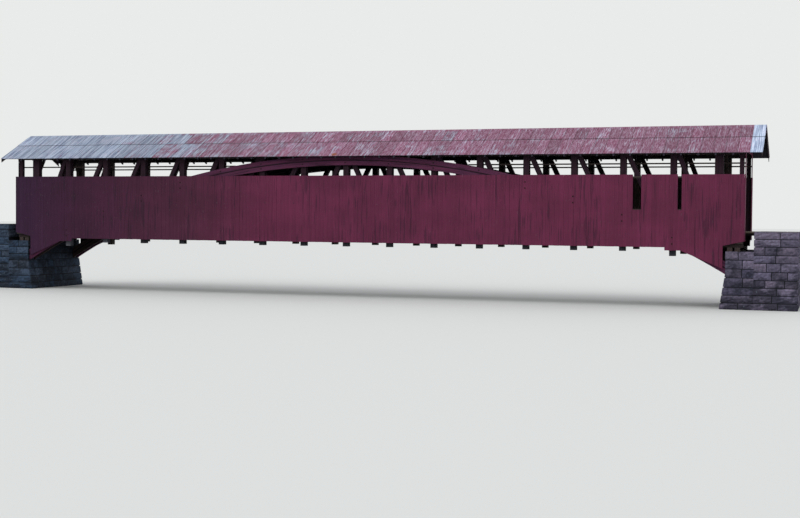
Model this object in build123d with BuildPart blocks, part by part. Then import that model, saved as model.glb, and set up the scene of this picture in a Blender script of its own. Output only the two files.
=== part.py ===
"""Single-span covered timber bridge: arch-braced post trusses under a long metal roof.

The model is half the size of the real bridge, so twice each length here is the real one.
X runs along the roadway, Y across it with the near side at -Y, and Z is up from the
lowest course of the stone abutments.
"""
from build123d import *
from math import cos, radians, sqrt, tan
import os

os.makedirs("parts", exist_ok=True)

# Trusses: panels between posts, and the distance between the two trusses.
panel = 1380
half_panels = 8
truss_spacing = 2500
truss_height = 2330

# Truss timbers.
post_width = 170
post_depth = 180
post_neck = 50
post_tail = 140
skirt_post_tail = 260
end_post_width = 230
end_post_inset = 155
brace_depth = 120
brace_shoulder = 120
lower_chord_height = 200
upper_chord_height = 115
timber_end_gap = 27

# Arches: two leaves, one over the other, on both faces of each truss.
arch_clearance = 4
arch_foot_drop = 450
arch_leaf = 148
arch_width = 70

# Stone abutments and the walls that carry the road up to the bridge.
seat_height = 1572
abutment_setback = 50
abutment_half_width = 1480
batter_height = 940
batter = 150
approach_gap = 255
approach_length = 1160

# Bed timbers on the abutment seats.
bed_timber_height = 108
bed_timber_width = 140
bed_timber_pitch = 200
bed_timber_setback = 40
bed_timber_reach = 60

# Floor.
floor_beam_width = 90
floor_beam_height = 120
floor_beam_offset = 345
end_beam_offset = 230
stringer_width = 60
stringer_height = 70
stringer_pitch = 450
deck_thickness = 35
deck_side_gap = 10

# Bracing in plan and across the roadway.
lower_lateral_width = 70
lower_lateral_height = 60
lower_lateral_rise = 40
lower_lateral_panels = 6
upper_lateral_width = 60
upper_lateral_height = 40
tie_width = 90
tie_height = 100
tie_end = 50
tie_clearance = 2
knee_width = 70
knee_drop = 465
knee_heel = 150
knee_slope = 1.57
first_knee = 4
rail_height = 40
rail_thickness = 20
rail_drop = 220
rail_gap = 12

# Siding, its nailing girts and the skirts over the arch feet.
siding_thickness = 15
siding_height = 2000
siding_drop = 20
siding_reach = 530
girt_thickness = 30
girt_height = 50
low_girt_rise = 130
middle_girt_rise = 1000
top_girt_drop = 50
girt_block_width = 90
seat_siding_rise = 60
end_siding_rise = 184
skirt_drop = 565
skirt_step = 88
skirt_diagonal_run = 1145
skirt_step_run = 1580
skirt_edge = 20

# Boards missing from the near siding: distance from the middle, and width.
missing_board_positions = (8692, 9854)
missing_board_widths = (232, 108)

# Roof.
roof_pitch = 27.24
rafter_width = 45
rafter_height = 50
rafters_per_panel = 3
rafter_seat = 34
rafter_end_gap = 20
roof_board_thickness = 15
sheet_thickness = 4
sheet_lap = 60
upper_sheet_run = 700
eave_reach = 175
roof_board_gap = 14
roof_reach = 467
roof_board_end_gap = 15
ridge_cap_run = 110
barge_thickness = 15
barge_height = 90

# Portals.
portal_thickness = 15
portal_drop = 40
portal_corner = 150
portal_post_width = 120
portal_post_depth = 120
gable_clearance = 2

# Levels.
chord_bottom = seat_height + bed_timber_height
chord_top = chord_bottom + lower_chord_height
floor_beam_top = chord_top + floor_beam_height
stringer_top = floor_beam_top + stringer_height
road_level = stringer_top + deck_thickness
upper_chord_bottom = chord_top + truss_height
upper_chord_top = upper_chord_bottom + upper_chord_height
siding_bottom = chord_bottom - siding_drop
siding_top = siding_bottom + siding_height

# Places along the bridge.
half_truss = panel * half_panels
abutment_face = half_truss + abutment_setback
siding_end = half_truss + siding_reach
roof_end = siding_end + roof_reach
approach_face = siding_end + portal_thickness + approach_gap

# Places across the bridge.
truss_y = truss_spacing / 2
post_outer = truss_y + post_depth / 2
post_inner = truss_y - post_depth / 2
outer_arch_face = post_outer + arch_width
inner_arch_face = post_inner - arch_width
girt_outer = outer_arch_face + girt_thickness
siding_outer = girt_outer + siding_thickness
eave_y = siding_outer + eave_reach

# Roof slope: the underside of the rafters crosses the top of the upper chord at its seat.
slope = tan(radians(roof_pitch))
upright = 1 / cos(radians(roof_pitch))
seat_y = post_outer - rafter_seat
rafter_underside = upper_chord_top + slope * seat_y
board_underside = rafter_underside + rafter_height * upright
sheet_underside = board_underside + roof_board_thickness * upright

# The arch is an arc through the crown and the two feet, drawn along the joint of its leaves.
# Its crown passes just under the rafters and the upper lateral crosses.
lateral_underside = upper_chord_top - upper_lateral_height
arch_top = min(rafter_underside - slope * outer_arch_face, lateral_underside) - arch_clearance
arch_crown = arch_top - arch_leaf
arch_foot = seat_height - arch_foot_drop
arch_rise = arch_crown - arch_foot
arch_radius = (abutment_face**2 + arch_rise**2) / (2 * arch_rise)
arch_centre = arch_crown - arch_radius

SIDES = {"near": -1, "far": 1}
ENDS = {"left": -1, "right": 1}

# Posts: width at each place from the middle outwards, and the open bays between them.
half_posts = {station * panel: post_width for station in range(half_panels)}
half_posts[half_truss - end_post_inset] = end_post_width
bays = [
    (head + half_posts[head] / 2, foot - half_posts[foot] / 2)
    for head, foot in zip(list(half_posts), list(half_posts)[1:])
]
post_tails = {place: post_tail for place in half_posts}
post_tails[(half_panels - 1) * panel] = skirt_post_tail
post_tails[half_truss - end_post_inset] = 0
post_places = sorted({end * place for end in ENDS.values() for place in half_posts})


def save(piece, name):
    """Label a finished piece and write it to its own file."""
    piece.label = name
    export_step(piece, f"parts/{name}.step")


def face_plane(side, inner, outer):
    """Upright plane along the bridge, for a piece between two distances from its middle.

    The piece is then extruded by outer - inner, towards -Y.
    """
    return Plane.XZ.offset(-max(side * inner, side * outer))


def arch_edge(offset, x):
    """Height of the arch's curve at x, for a curve offset outwards from the leaf joint."""
    return arch_centre + sqrt((arch_radius + offset) ** 2 - x**2)


def at_arch(x, low, high):
    """Tell whether the arch passes between two heights at x."""
    return arch_edge(-arch_leaf, x) < high and arch_edge(arch_leaf, x) > low


def under_slope(level, y):
    """Height of a roof surface at y, given its height over the middle."""
    return level - slope * abs(y)


def shoulder_rise(bay):
    """Height of the shoulders in a bay, on which its brace bears square at both ends."""
    run = bay[1] - bay[0] - brace_shoulder
    rise = truss_height + sqrt(truss_height**2 - 4 * brace_shoulder * run)
    return brace_shoulder * 2 * run / rise


# Abutments: one mass of masonry each, with the flat seat that the bridge lies on. The foot of
# the face towards the stream leans out.
for end_name, end in ENDS.items():
    with BuildPart() as abutment:
        with BuildSketch(Plane.XZ.offset(-abutment_half_width)):
            Polygon(
                (end * (abutment_face - batter), 0),
                (end * abutment_face, batter_height),
                (end * abutment_face, seat_height),
                (end * approach_face, seat_height),
                (end * approach_face, 0),
                align=None,
            )
        extrude(amount=2 * abutment_half_width)
    save(abutment.part, f"{end_name}_abutment")

    with BuildPart() as approach:
        with Locations((end * (approach_face + approach_length / 2), 0, 0)):
            Box(
                approach_length,
                2 * abutment_half_width,
                road_level,
                align=(Align.CENTER, Align.CENTER, Align.MIN),
            )
    save(approach.part, f"{end_name}_approach")

# Bed timbers: two across each seat. The chords run on past the outer one.
bed_timber_x = abutment_face + bed_timber_setback + bed_timber_width / 2
bed_timber_places = [
    (end * (bed_timber_x + place * bed_timber_pitch), 0, seat_height)
    for end in ENDS.values()
    for place in range(2)
]
with BuildPart() as bed_timbers:
    with Locations(*bed_timber_places):
        Box(
            bed_timber_width,
            2 * (post_outer + bed_timber_reach),
            bed_timber_height,
            align=(Align.CENTER, Align.CENTER, Align.MIN),
        )
save(bed_timbers.part, "bed_timbers")

# Trusses.
stick = (post_depth - post_neck) / 2
stick_length = 2 * (siding_end - timber_end_gap)
for side_name, side in SIDES.items():
    # Lower chord: two sticks, let into the two faces of the posts.
    stick_places = [
        (0, side * (post_inner + stick / 2), chord_bottom),
        (0, side * (post_outer - stick / 2), chord_bottom),
    ]
    with BuildPart() as lower_chord:
        with Locations(*stick_places):
            Box(
                stick_length,
                stick,
                lower_chord_height,
                align=(Align.CENTER, Align.CENTER, Align.MIN),
            )
    save(lower_chord.part, f"{side_name}_lower_chord")

    with BuildPart() as upper_chord:
        with Locations((0, side * truss_y, upper_chord_bottom)):
            Box(
                2 * siding_end,
                post_depth,
                upper_chord_height,
                align=(Align.CENTER, Align.CENTER, Align.MIN),
            )
    save(upper_chord.part, f"{side_name}_upper_chord")

    # Posts: each foot flares towards the middle and each head away from it, to take the
    # braces square. All but the end posts hang below the chord in a tail, which is longest
    # beside the skirt of the siding.
    with BuildPart() as posts:
        with BuildSketch(face_plane(side, post_inner, post_outer)):
            for place in post_places:
                tail = post_tails[abs(place)]
                with Locations((place, upper_chord_bottom)):
                    Rectangle(
                        half_posts[abs(place)],
                        truss_height + lower_chord_height + tail,
                        align=(Align.CENTER, Align.MAX),
                    )
            for half in ENDS.values():
                for bay in bays:
                    head, foot = bay
                    Polygon(
                        (half * head, upper_chord_bottom),
                        (half * (head + brace_shoulder), upper_chord_bottom),
                        (half * head, upper_chord_bottom - shoulder_rise(bay)),
                        align=None,
                    )
                    Polygon(
                        (half * foot, chord_top),
                        (half * (foot - brace_shoulder), chord_top),
                        (half * foot, chord_top + shoulder_rise(bay)),
                        align=None,
                    )
        extrude(amount=post_depth)
        with Locations(*stick_places):
            Box(
                stick_length,
                stick,
                lower_chord_height,
                align=(Align.CENTER, Align.CENTER, Align.MIN),
                mode=Mode.SUBTRACT,
            )
    save(posts.part, f"{side_name}_posts")

    # Braces: one in each panel, rising towards the middle post.
    with BuildPart() as braces:
        with BuildSketch(face_plane(side, truss_y - brace_depth / 2, truss_y + brace_depth / 2)):
            for half in ENDS.values():
                for bay in bays:
                    head, foot = bay
                    Polygon(
                        (half * (foot - brace_shoulder), chord_top),
                        (half * foot, chord_top + shoulder_rise(bay)),
                        (half * (head + brace_shoulder), upper_chord_bottom),
                        (half * head, upper_chord_bottom - shoulder_rise(bay)),
                        align=None,
                    )
        extrude(amount=brace_depth)
    save(braces.part, f"{side_name}_braces")

    # Arches: two bent leaves on each face of the truss, footed on the abutments.
    ribs = {"outer": (post_outer, outer_arch_face), "inner": (inner_arch_face, post_inner)}
    leaves = {"lower": (-arch_leaf, 0), "upper": (0, arch_leaf)}
    for rib_name, (rib_inner, rib_outer) in ribs.items():
        for leaf_name, (below, above) in leaves.items():
            with BuildPart() as leaf:
                with BuildSketch(face_plane(side, rib_inner, rib_outer)):
                    with BuildLine():
                        under = ThreePointArc(
                            (-abutment_face, arch_edge(below, abutment_face)),
                            (0, arch_edge(below, 0)),
                            (abutment_face, arch_edge(below, abutment_face)),
                        )
                        over = ThreePointArc(
                            (-abutment_face, arch_edge(above, abutment_face)),
                            (0, arch_edge(above, 0)),
                            (abutment_face, arch_edge(above, abutment_face)),
                        )
                        Line(under @ 0, over @ 0)
                        Line(under @ 1, over @ 1)
                    make_face()
                extrude(amount=arch_width)
            save(leaf.part, f"{side_name}_{rib_name}_arch_{leaf_name}_leaf")

# Floor beams lie on the lower chords, and butt on the arches where these pass the floor.
beam_places = {inner_arch_face: [], post_outer: []}
for inner_post, outer_post in zip(list(half_posts), list(half_posts)[1:]):
    for place in (inner_post + floor_beam_offset, outer_post - floor_beam_offset):
        edges = (place - floor_beam_width / 2, place + floor_beam_width / 2)
        meets_arch = any(at_arch(edge, chord_top, floor_beam_top) for edge in edges)
        reach = inner_arch_face if meets_arch else post_outer
        beam_places[reach] += [(-place, 0, chord_top), (place, 0, chord_top)]
end_beam = half_truss + end_beam_offset
beam_places[post_outer] += [(-end_beam, 0, chord_top), (end_beam, 0, chord_top)]
with BuildPart() as floor_beams:
    for reach, places in beam_places.items():
        with Locations(*places):
            Box(
                floor_beam_width,
                2 * reach,
                floor_beam_height,
                align=(Align.CENTER, Align.CENTER, Align.MIN),
            )
save(floor_beams.part, "floor_beams")

with BuildPart() as stringers:
    with Locations(*[(0, row * stringer_pitch, floor_beam_top) for row in range(-2, 3)]):
        Box(
            2 * approach_face,
            stringer_width,
            stringer_height,
            align=(Align.CENTER, Align.CENTER, Align.MIN),
        )
save(stringers.part, "stringers")

with BuildPart() as deck:
    with Locations((0, 0, stringer_top)):
        Box(
            2 * approach_face,
            2 * (inner_arch_face - deck_side_gap),
            deck_thickness,
            align=(Align.CENTER, Align.CENTER, Align.MIN),
        )
save(deck.part, "deck")


def crossed_bars(first, count, length, half_width, bar_width):
    """Draw a row of crosses, each of two bars between the lines y = -+half_width."""
    for cross in range(count):
        start = first + cross * length
        for way in (-1, 1):
            Polygon(
                (start, -way * half_width),
                (start + bar_width, -way * half_width),
                (start + length, way * half_width),
                (start + length - bar_width, way * half_width),
                align=None,
            )


# Lateral bracing: crosses between the lower chords and between the upper chords.
with BuildPart() as lower_laterals:
    with BuildSketch(Plane.XY.offset(chord_bottom + lower_lateral_rise)):
        crossed_bars(
            -lower_lateral_panels * panel,
            2 * lower_lateral_panels,
            panel,
            post_inner,
            lower_lateral_width,
        )
    extrude(amount=lower_lateral_height)
save(lower_laterals.part, "lower_laterals")

with BuildPart() as upper_laterals:
    with BuildSketch(Plane.XY.offset(lateral_underside)):
        crossed_bars(-half_truss, half_panels, 2 * panel, post_inner, upper_lateral_width)
    extrude(amount=upper_lateral_height)
save(upper_laterals.part, "upper_laterals")

# Tie beams lie on the upper chords, with their ends cut to the roof slope.
tie_top = upper_chord_top + tie_height
tie_reach = truss_y + tie_end
tie_slope_level = board_underside - tie_clearance
tie_shoulder = (tie_slope_level - tie_top) / slope
with BuildPart() as tie_beams:
    with BuildSketch(*[Plane.YZ.offset(place) for place in post_places]):
        Polygon(
            (-tie_reach, upper_chord_top),
            (tie_reach, upper_chord_top),
            (tie_reach, under_slope(tie_slope_level, tie_reach)),
            (tie_shoulder, tie_top),
            (-tie_shoulder, tie_top),
            (-tie_reach, under_slope(tie_slope_level, tie_reach)),
            align=None,
        )
    extrude(amount=tie_width / 2, both=True)
save(tie_beams.part, "tie_beams")

# Knee braces stand between the posts and the tie beams, clear of the arches.
knee_places = [place for place in post_places if abs(place) >= first_knee * panel]
heel = upper_chord_top - knee_drop - knee_heel
with BuildPart() as knee_braces:
    with BuildSketch(*[Plane.YZ.offset(place) for place in knee_places]):
        for side in SIDES.values():
            Polygon(
                (side * post_inner, heel),
                (side * post_inner, heel + knee_heel),
                (side * (post_inner - knee_drop / knee_slope), upper_chord_top),
                (side * (post_inner - (knee_drop + knee_heel) / knee_slope), upper_chord_top),
                align=None,
            )
    extrude(amount=knee_width / 2, both=True)
save(knee_braces.part, "knee_braces")

# Upper rails run along the inner faces of the posts, from each end to the arch.
rail_top = upper_chord_bottom - rail_drop
rail_stop = sqrt((arch_radius + arch_leaf) ** 2 - (rail_top - rail_height - arch_centre) ** 2)
rail_start = rail_stop + rail_gap
rail_length = siding_end - rail_start
rail_places = [
    (end * (rail_start + rail_length / 2), side * (post_inner - rail_thickness / 2), rail_top)
    for side in SIDES.values()
    for end in ENDS.values()
]
with BuildPart() as upper_rails:
    with Locations(*rail_places):
        Box(
            rail_length,
            rail_thickness,
            rail_height,
            align=(Align.CENTER, Align.CENTER, Align.MAX),
        )
save(upper_rails.part, "upper_rails")

# Girts: nailing rails for the siding, blocked out from the posts to the arch's thickness.
girt_bottoms = (
    siding_bottom + low_girt_rise,
    siding_bottom + middle_girt_rise,
    siding_top - top_girt_drop - girt_height,
)
girt_places = []
block_places = []
for side in SIDES.values():
    for bottom in girt_bottoms:
        girt_places.append((0, side * (outer_arch_face + girt_thickness / 2), bottom))
        for middle in post_places:
            edges = (middle - girt_block_width / 2, middle + girt_block_width / 2)
            if not any(at_arch(edge, bottom, bottom + girt_height) for edge in edges):
                block_places.append((middle, side * (post_outer + arch_width / 2), bottom))
with BuildPart() as siding_girts:
    with Locations(*girt_places):
        Box(
            2 * (siding_end - timber_end_gap),
            girt_thickness,
            girt_height,
            align=(Align.CENTER, Align.CENTER, Align.MIN),
        )
    with Locations(*block_places):
        Box(
            girt_block_width,
            arch_width,
            girt_height,
            align=(Align.CENTER, Align.CENTER, Align.MIN),
        )
save(siding_girts.part, "siding_girts")

# Siding: an upright board wall with a skirt over each arch foot. It ends higher over the
# seats, and boards are missing from the upper half of the near wall.
half_outline = [
    (siding_end, siding_top),
    (siding_end, siding_bottom + end_siding_rise),
    (half_truss - skirt_edge, siding_bottom + seat_siding_rise),
    (half_truss - skirt_edge, siding_bottom - skirt_drop),
    (half_truss - skirt_diagonal_run, siding_bottom - skirt_step),
    (half_truss - skirt_step_run, siding_bottom - skirt_step),
    (half_truss - skirt_step_run, siding_bottom),
]
siding_outline = half_outline + [(-x, z) for x, z in reversed(half_outline)]
board_break = siding_bottom + middle_girt_rise + girt_height / 2
for side_name, side in SIDES.items():
    with BuildPart() as siding:
        with BuildSketch(face_plane(side, girt_outer, siding_outer)):
            Polygon(*siding_outline, align=None)
            if side_name == "near":
                for x, width in zip(missing_board_positions, missing_board_widths):
                    with Locations((x, board_break)):
                        Rectangle(
                            width,
                            siding_top - board_break,
                            align=(Align.CENTER, Align.MIN),
                            mode=Mode.SUBTRACT,
                        )
        extrude(amount=siding_thickness)
    save(siding.part, f"{side_name}_siding")

# Roof: rafters notched over the upper chords, boards on them, and two rows of metal sheets.
rafter_pitch = panel / rafters_per_panel
rafter_count = int((siding_end - rafter_width) / rafter_pitch + 0.5)
rafter_places = [(place + 0.5) * rafter_pitch for place in range(rafter_count)]
rafter_planes = [Plane.YZ.offset(half * x) for half in ENDS.values() for x in rafter_places]
rafter_foot = eave_y - rafter_end_gap
board_foot = eave_y - roof_board_gap


def slope_strip(side, low, high, start, stop):
    """Draw a strip of roof section between two levels and two distances from the middle."""
    Polygon(
        (side * start, under_slope(low, start)),
        (side * stop, under_slope(low, stop)),
        (side * stop, under_slope(high, stop)),
        (side * start, under_slope(high, start)),
        align=None,
    )


sheet_rise = sheet_thickness * upright
for side_name, side in SIDES.items():
    with BuildPart() as rafters:
        with BuildSketch(*rafter_planes):
            slope_strip(side, rafter_underside, board_underside, 0, rafter_foot)
            with Locations((side * truss_y, upper_chord_bottom)):
                Rectangle(
                    post_depth,
                    upper_chord_height,
                    align=(Align.CENTER, Align.MIN),
                    mode=Mode.SUBTRACT,
                )
        extrude(amount=rafter_width / 2, both=True)
    save(rafters.part, f"{side_name}_rafters")

    with BuildPart() as roof_boards:
        with BuildSketch(Plane.YZ):
            slope_strip(side, board_underside, sheet_underside, 0, board_foot)
        extrude(amount=roof_end - roof_board_end_gap, both=True)
    save(roof_boards.part, f"{side_name}_roof_boards")

    with BuildPart() as lower_sheets:
        with BuildSketch(Plane.YZ):
            slope_strip(
                side, sheet_underside, sheet_underside + sheet_rise, upper_sheet_run - sheet_lap, eave_y
            )
        extrude(amount=roof_end, both=True)
    save(lower_sheets.part, f"{side_name}_lower_roof_sheets")

    with BuildPart() as upper_sheets:
        with BuildSketch(Plane.YZ):
            slope_strip(
                side, sheet_underside, sheet_underside + sheet_rise, 0, upper_sheet_run - sheet_lap
            )
            slope_strip(
                side,
                sheet_underside + sheet_rise,
                sheet_underside + 2 * sheet_rise,
                0,
                upper_sheet_run,
            )
        extrude(amount=roof_end, both=True)
    save(upper_sheets.part, f"{side_name}_upper_roof_sheets")

with BuildPart() as ridge_cap:
    with BuildSketch(Plane.YZ):
        for side in SIDES.values():
            slope_strip(
                side,
                sheet_underside + 2 * sheet_rise,
                sheet_underside + 3 * sheet_rise,
                0,
                ridge_cap_run,
            )
    extrude(amount=roof_end, both=True)
save(ridge_cap.part, "ridge_cap")

# Barge boards close the ends of the roof, under its boards.
barge_low = board_underside - barge_height * upright
with BuildPart() as barge_boards:
    for end in ENDS.values():
        near_face = roof_end - roof_board_end_gap - barge_thickness
        start = near_face if end > 0 else -near_face - barge_thickness
        with BuildSketch(Plane.YZ.offset(start)):
            for side in SIDES.values():
                slope_strip(side, barge_low, board_underside, 0, board_foot)
        extrude(amount=barge_thickness)
save(barge_boards.part, "barge_boards")

# Portals: a boarded gable with clipped corners over the roadway, and boards beside it. Above
# the siding the boards go no further out than the portal posts, so the slots stay open. The
# top of the opening keeps its distance from the top of the upper chord.
opening_top = upper_chord_top - portal_drop
corner_foot = opening_top - portal_corner
gable_top = board_underside - gable_clearance
portal_post_outer = truss_y + portal_post_depth / 2
portal_planes = [
    Plane.YZ.offset(siding_end),
    Plane.YZ.offset(-siding_end - portal_thickness),
]
half_gable = [
    (inner_arch_face - portal_corner, opening_top),
    (inner_arch_face, corner_foot),
    (portal_post_outer, corner_foot),
    (portal_post_outer, under_slope(gable_top, portal_post_outer)),
]
other_half = [(-y, z) for y, z in reversed(half_gable)]
with BuildPart() as portal_gables:
    with BuildSketch(*portal_planes):
        Polygon(*half_gable, (0, gable_top), *other_half, align=None)
    extrude(amount=portal_thickness)
save(portal_gables.part, "portal_gables")

jamb_bottom = siding_bottom + end_siding_rise
with BuildPart() as portal_jambs:
    with BuildSketch(*portal_planes):
        for side in SIDES.values():
            Polygon(
                (side * inner_arch_face, jamb_bottom),
                (side * siding_outer, jamb_bottom),
                (side * siding_outer, siding_top),
                (side * portal_post_outer, siding_top),
                (side * portal_post_outer, corner_foot),
                (side * inner_arch_face, corner_foot),
                align=None,
            )
    extrude(amount=portal_thickness)
save(portal_jambs.part, "portal_jambs")

# Portal posts stand on the ends of the lower chords, behind the portal boards.
portal_post_x = siding_end - timber_end_gap - portal_post_width / 2
portal_post_places = [
    (end * portal_post_x, side * truss_y, chord_top)
    for side in SIDES.values()
    for end in ENDS.values()
]
with BuildPart() as portal_posts:
    with Locations(*portal_post_places):
        Box(
            portal_post_width,
            portal_post_depth,
            truss_height,
            align=(Align.CENTER, Align.CENTER, Align.MIN),
        )
save(portal_posts.part, "portal_posts")
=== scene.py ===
"""Dresses the half-size covered bridge: boards, sheets, planks, stones and iron around its solids."""

import logging
import math
import random
from collections.abc import Iterable, Mapping, Sequence
from dataclasses import dataclass, field
from enum import Enum
from typing import ClassVar

import bmesh
import bpy
from mathutils import Matrix, Vector


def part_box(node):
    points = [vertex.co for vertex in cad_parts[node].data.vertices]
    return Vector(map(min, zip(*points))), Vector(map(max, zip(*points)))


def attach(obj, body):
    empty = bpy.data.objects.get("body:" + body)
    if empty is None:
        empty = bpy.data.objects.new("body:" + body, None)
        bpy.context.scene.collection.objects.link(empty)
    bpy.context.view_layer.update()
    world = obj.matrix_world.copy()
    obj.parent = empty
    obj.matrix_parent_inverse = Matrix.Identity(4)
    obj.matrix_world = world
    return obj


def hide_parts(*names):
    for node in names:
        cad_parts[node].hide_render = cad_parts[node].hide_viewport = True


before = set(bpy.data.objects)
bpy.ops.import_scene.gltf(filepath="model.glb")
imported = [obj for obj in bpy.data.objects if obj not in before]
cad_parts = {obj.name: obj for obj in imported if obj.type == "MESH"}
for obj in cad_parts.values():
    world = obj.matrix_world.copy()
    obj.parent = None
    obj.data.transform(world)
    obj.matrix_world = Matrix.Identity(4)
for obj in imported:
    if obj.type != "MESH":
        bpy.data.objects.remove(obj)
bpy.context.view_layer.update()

LOG = logging.getLogger("covered_bridge")
MM = 0.001
TOUCH = 1e-6
SHORT_END = 0.01
X_AXIS = Vector((1, 0, 0))
Y_AXIS = Vector((0, 1, 0))
Z_AXIS = Vector((0, 0, 1))

# Sizes in metres and angles that more than one sub-assembly shares, as the solids have them.
PANEL = 1.38
ARCH_CENTRE = -17.892
ARCH_RADIUS = 22.011
ROOF_PITCH = math.radians(27.24)
SIDING_TOP = 3.66
SIDING_END = 11.57

Tree = bpy.types.NodeTree
Node = bpy.types.Node
Source = bpy.types.Node | bpy.types.NodeSocket | float


class Grain(Enum):
    """Way in which the grain of a timber runs."""

    ALONG = "along the bridge"
    ACROSS = "across the bridge"
    UPRIGHT = "upright"
    BRACE = "up the slope of the braces"
    ARC = "round the arch"


class Side(Enum):
    """Side of the bridge, with the sign of its Y."""

    NEAR = -1
    FAR = 1

    @property
    def word(self) -> str:
        """Name of the side as the solids spell it."""
        return self.name.lower()


class End(Enum):
    """End of the bridge, with the sign of its X."""

    LEFT = -1
    RIGHT = 1

    @property
    def word(self) -> str:
        """Name of the end as the solids spell it."""
        return self.name.lower()


class Foot(Enum):
    """Where the foot of a stone face leans out under the span."""

    PLUMB = "nowhere"
    FRONT = "over its whole width"
    START = "at the start of the face"
    STOP = "at the end of the face"


# Shader nodes and colours.


def linear(hex_colour: str) -> tuple[float, float, float, float]:
    """Turns an sRGB hex colour to linear.

    Args:
        hex_colour: six hex digits after a hash.

    Returns:
        Red, green, blue and an alpha of one.
    """
    values = [int(hex_colour[place : place + 2], 16) / 255 for place in (1, 3, 5)]
    turned = [v / 12.92 if v <= 0.04045 else ((v + 0.055) / 1.055) ** 2.4 for v in values]
    return (turned[0], turned[1], turned[2], 1.0)


def clamped(value: float) -> float:
    """The value, held between 0 and 1."""
    return min(1.0, max(0.0, value))


def add(
    tree: Tree,
    kind: str,
    inputs: Mapping[int | str, object] | None = None,
    stops: Sequence[tuple[float, str]] = (),
    **settings: object,
) -> Node:
    """Adds a node with its settings and links.

    Args:
        tree: node tree of the material.
        kind: node type without its leading "ShaderNode".
        inputs: for each input, a value, a node whose first output is linked, or an output.
        stops: for a colour ramp, the places and hex colours of its stops.
        settings: the node's own properties.

    Returns:
        The new node.
    """
    node = tree.nodes.new("ShaderNode" + kind)
    for name, value in settings.items():
        setattr(node, name, value)
    for name, value in (inputs or {}).items():
        if isinstance(value, bpy.types.Node):
            value = value.outputs[0]
        if isinstance(value, bpy.types.NodeSocket):
            tree.links.new(value, node.inputs[name])
        else:
            node.inputs[name].default_value = value
    if stops:
        elements = node.color_ramp.elements
        while len(elements) < len(stops):
            elements.new(0.5)
        for element, (place, colour) in zip(elements, stops):
            element.position = place
            element.color = linear(colour)
    return node


@dataclass(frozen=True)
class Span:
    """How a pattern becomes a strength: its part from start to stop runs from low to high."""

    start: float = 0.0
    stop: float = 1.0
    low: float = 0.0
    high: float = 1.0

    @property
    def inputs(self) -> dict[int, float]:
        """The four limits, as inputs of a Map Range node."""
        return {1: self.start, 2: self.stop, 3: self.low, 4: self.high}


@dataclass(frozen=True)
class Finish:
    """A surface finish, from which one material is made.

    Attributes:
        name: material name, after the real material and how its surface was made.
        roughness: roughness of the shader.
        specular: specular level of the shader, low where the surface is chalky or fibrous.
    """

    name: str
    roughness: float = 0.85
    specular: float = 0.25

    def material(self) -> bpy.types.Material:
        """Makes the material, once for each name.

        Returns:
            The material, new or made before.
        """
        found = bpy.data.materials.get(self.name)
        if found:
            return found
        made = bpy.data.materials.new(self.name)
        made.use_nodes = True
        shader = made.node_tree.nodes["Principled BSDF"]
        shader.inputs["Roughness"].default_value = self.roughness
        shader.inputs["Specular IOR Level"].default_value = self.specular
        self.dress(made.node_tree, shader)
        return made

    def dress(self, tree: Tree, shader: Node) -> None:
        """Adds the finish's own nodes in front of the shader."""
        raise NotImplementedError

    @staticmethod
    def pattern(
        tree: Tree,
        size_mm: tuple[float, float, float],
        place: Source | None = None,
        detail: float = 3.0,
        offset: float = 0.0,
    ) -> Source:
        """Adds cloudy noise whose lumps have a real size.

        Args:
            tree: node tree of the material.
            size_mm: size of a lump along X, Y and Z in millimetres.
            place: coordinates in metres, or the object's own where left out.
            detail: number of finer layers.
            offset: shift, counted in lumps, that makes it differ from a like pattern.

        Returns:
            The noise, around one half.
        """
        if place is None:
            place = add(tree, "TexCoord").outputs["Object"]
        scale = tuple(1.0 / (size * MM) for size in size_mm)
        spread = add(tree, "Mapping", {"Vector": place, "Scale": scale, "Location": (offset,) * 3})
        noise = add(tree, "TexNoise", {"Vector": spread, "Scale": 1.0, "Detail": detail, "Roughness": 0.6})
        return noise.outputs["Fac"]

    @staticmethod
    def total(tree: Tree, *parts: tuple[Source, float]) -> Source:
        """Adds patterns up.

        Args:
            tree: node tree of the material.
            parts: patterns, each with the share that counts.

        Returns:
            Their sum.
        """
        summed: Source = 0.0
        for pattern, share in parts:
            summed = add(tree, "Math", {0: pattern, 1: share, 2: summed}, operation="MULTIPLY_ADD")
        return summed

    @staticmethod
    def shaded(tree: Tree, colour: Node, *lights: tuple[Source, Span]) -> Node:
        """Lightens and darkens a colour by patterns.

        Args:
            tree: node tree of the material.
            colour: node that gives the colour.
            lights: patterns, each with the brightness that it becomes.

        Returns:
            Node that gives the shaded colour.
        """
        for pattern, span in lights:
            light = add(tree, "MapRange", {0: pattern} | span.inputs)
            inputs = {"Fac": 1.0, "Color1": colour, "Color2": light}
            colour = add(tree, "MixRGB", inputs, blend_type="MULTIPLY")
        return colour

    @staticmethod
    def stained(tree: Tree, colour: Node, stain: str, pattern: Source, span: Span) -> Node:
        """Lays a stain over a colour.

        Args:
            tree: node tree of the material.
            colour: node that gives the colour.
            stain: hex colour of the stain.
            pattern: pattern of its patches.
            span: how much of the stain the pattern lets through.

        Returns:
            Node that gives the stained colour.
        """
        mask = add(tree, "MapRange", {0: pattern} | span.inputs)
        return add(tree, "MixRGB", {"Fac": mask, "Color1": colour, "Color2": linear(stain)})

    @staticmethod
    def cover(tree: Tree, shader: Node, colour: Node, relief: Source, depth_mm: float) -> None:
        """Puts a colour on the shader and bends its normal by a relief.

        Args:
            tree: node tree of the material.
            shader: the material's shader.
            colour: node that gives the colour.
            relief: pattern of the heights.
            depth_mm: depth of the relief in millimetres.
        """
        tree.links.new(colour.outputs[0], shader.inputs["Base Color"])
        bump = add(tree, "Bump", {"Height": relief, "Distance": depth_mm * MM, "Strength": 1.0})
        tree.links.new(bump.outputs[0], shader.inputs["Normal"])


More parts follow.
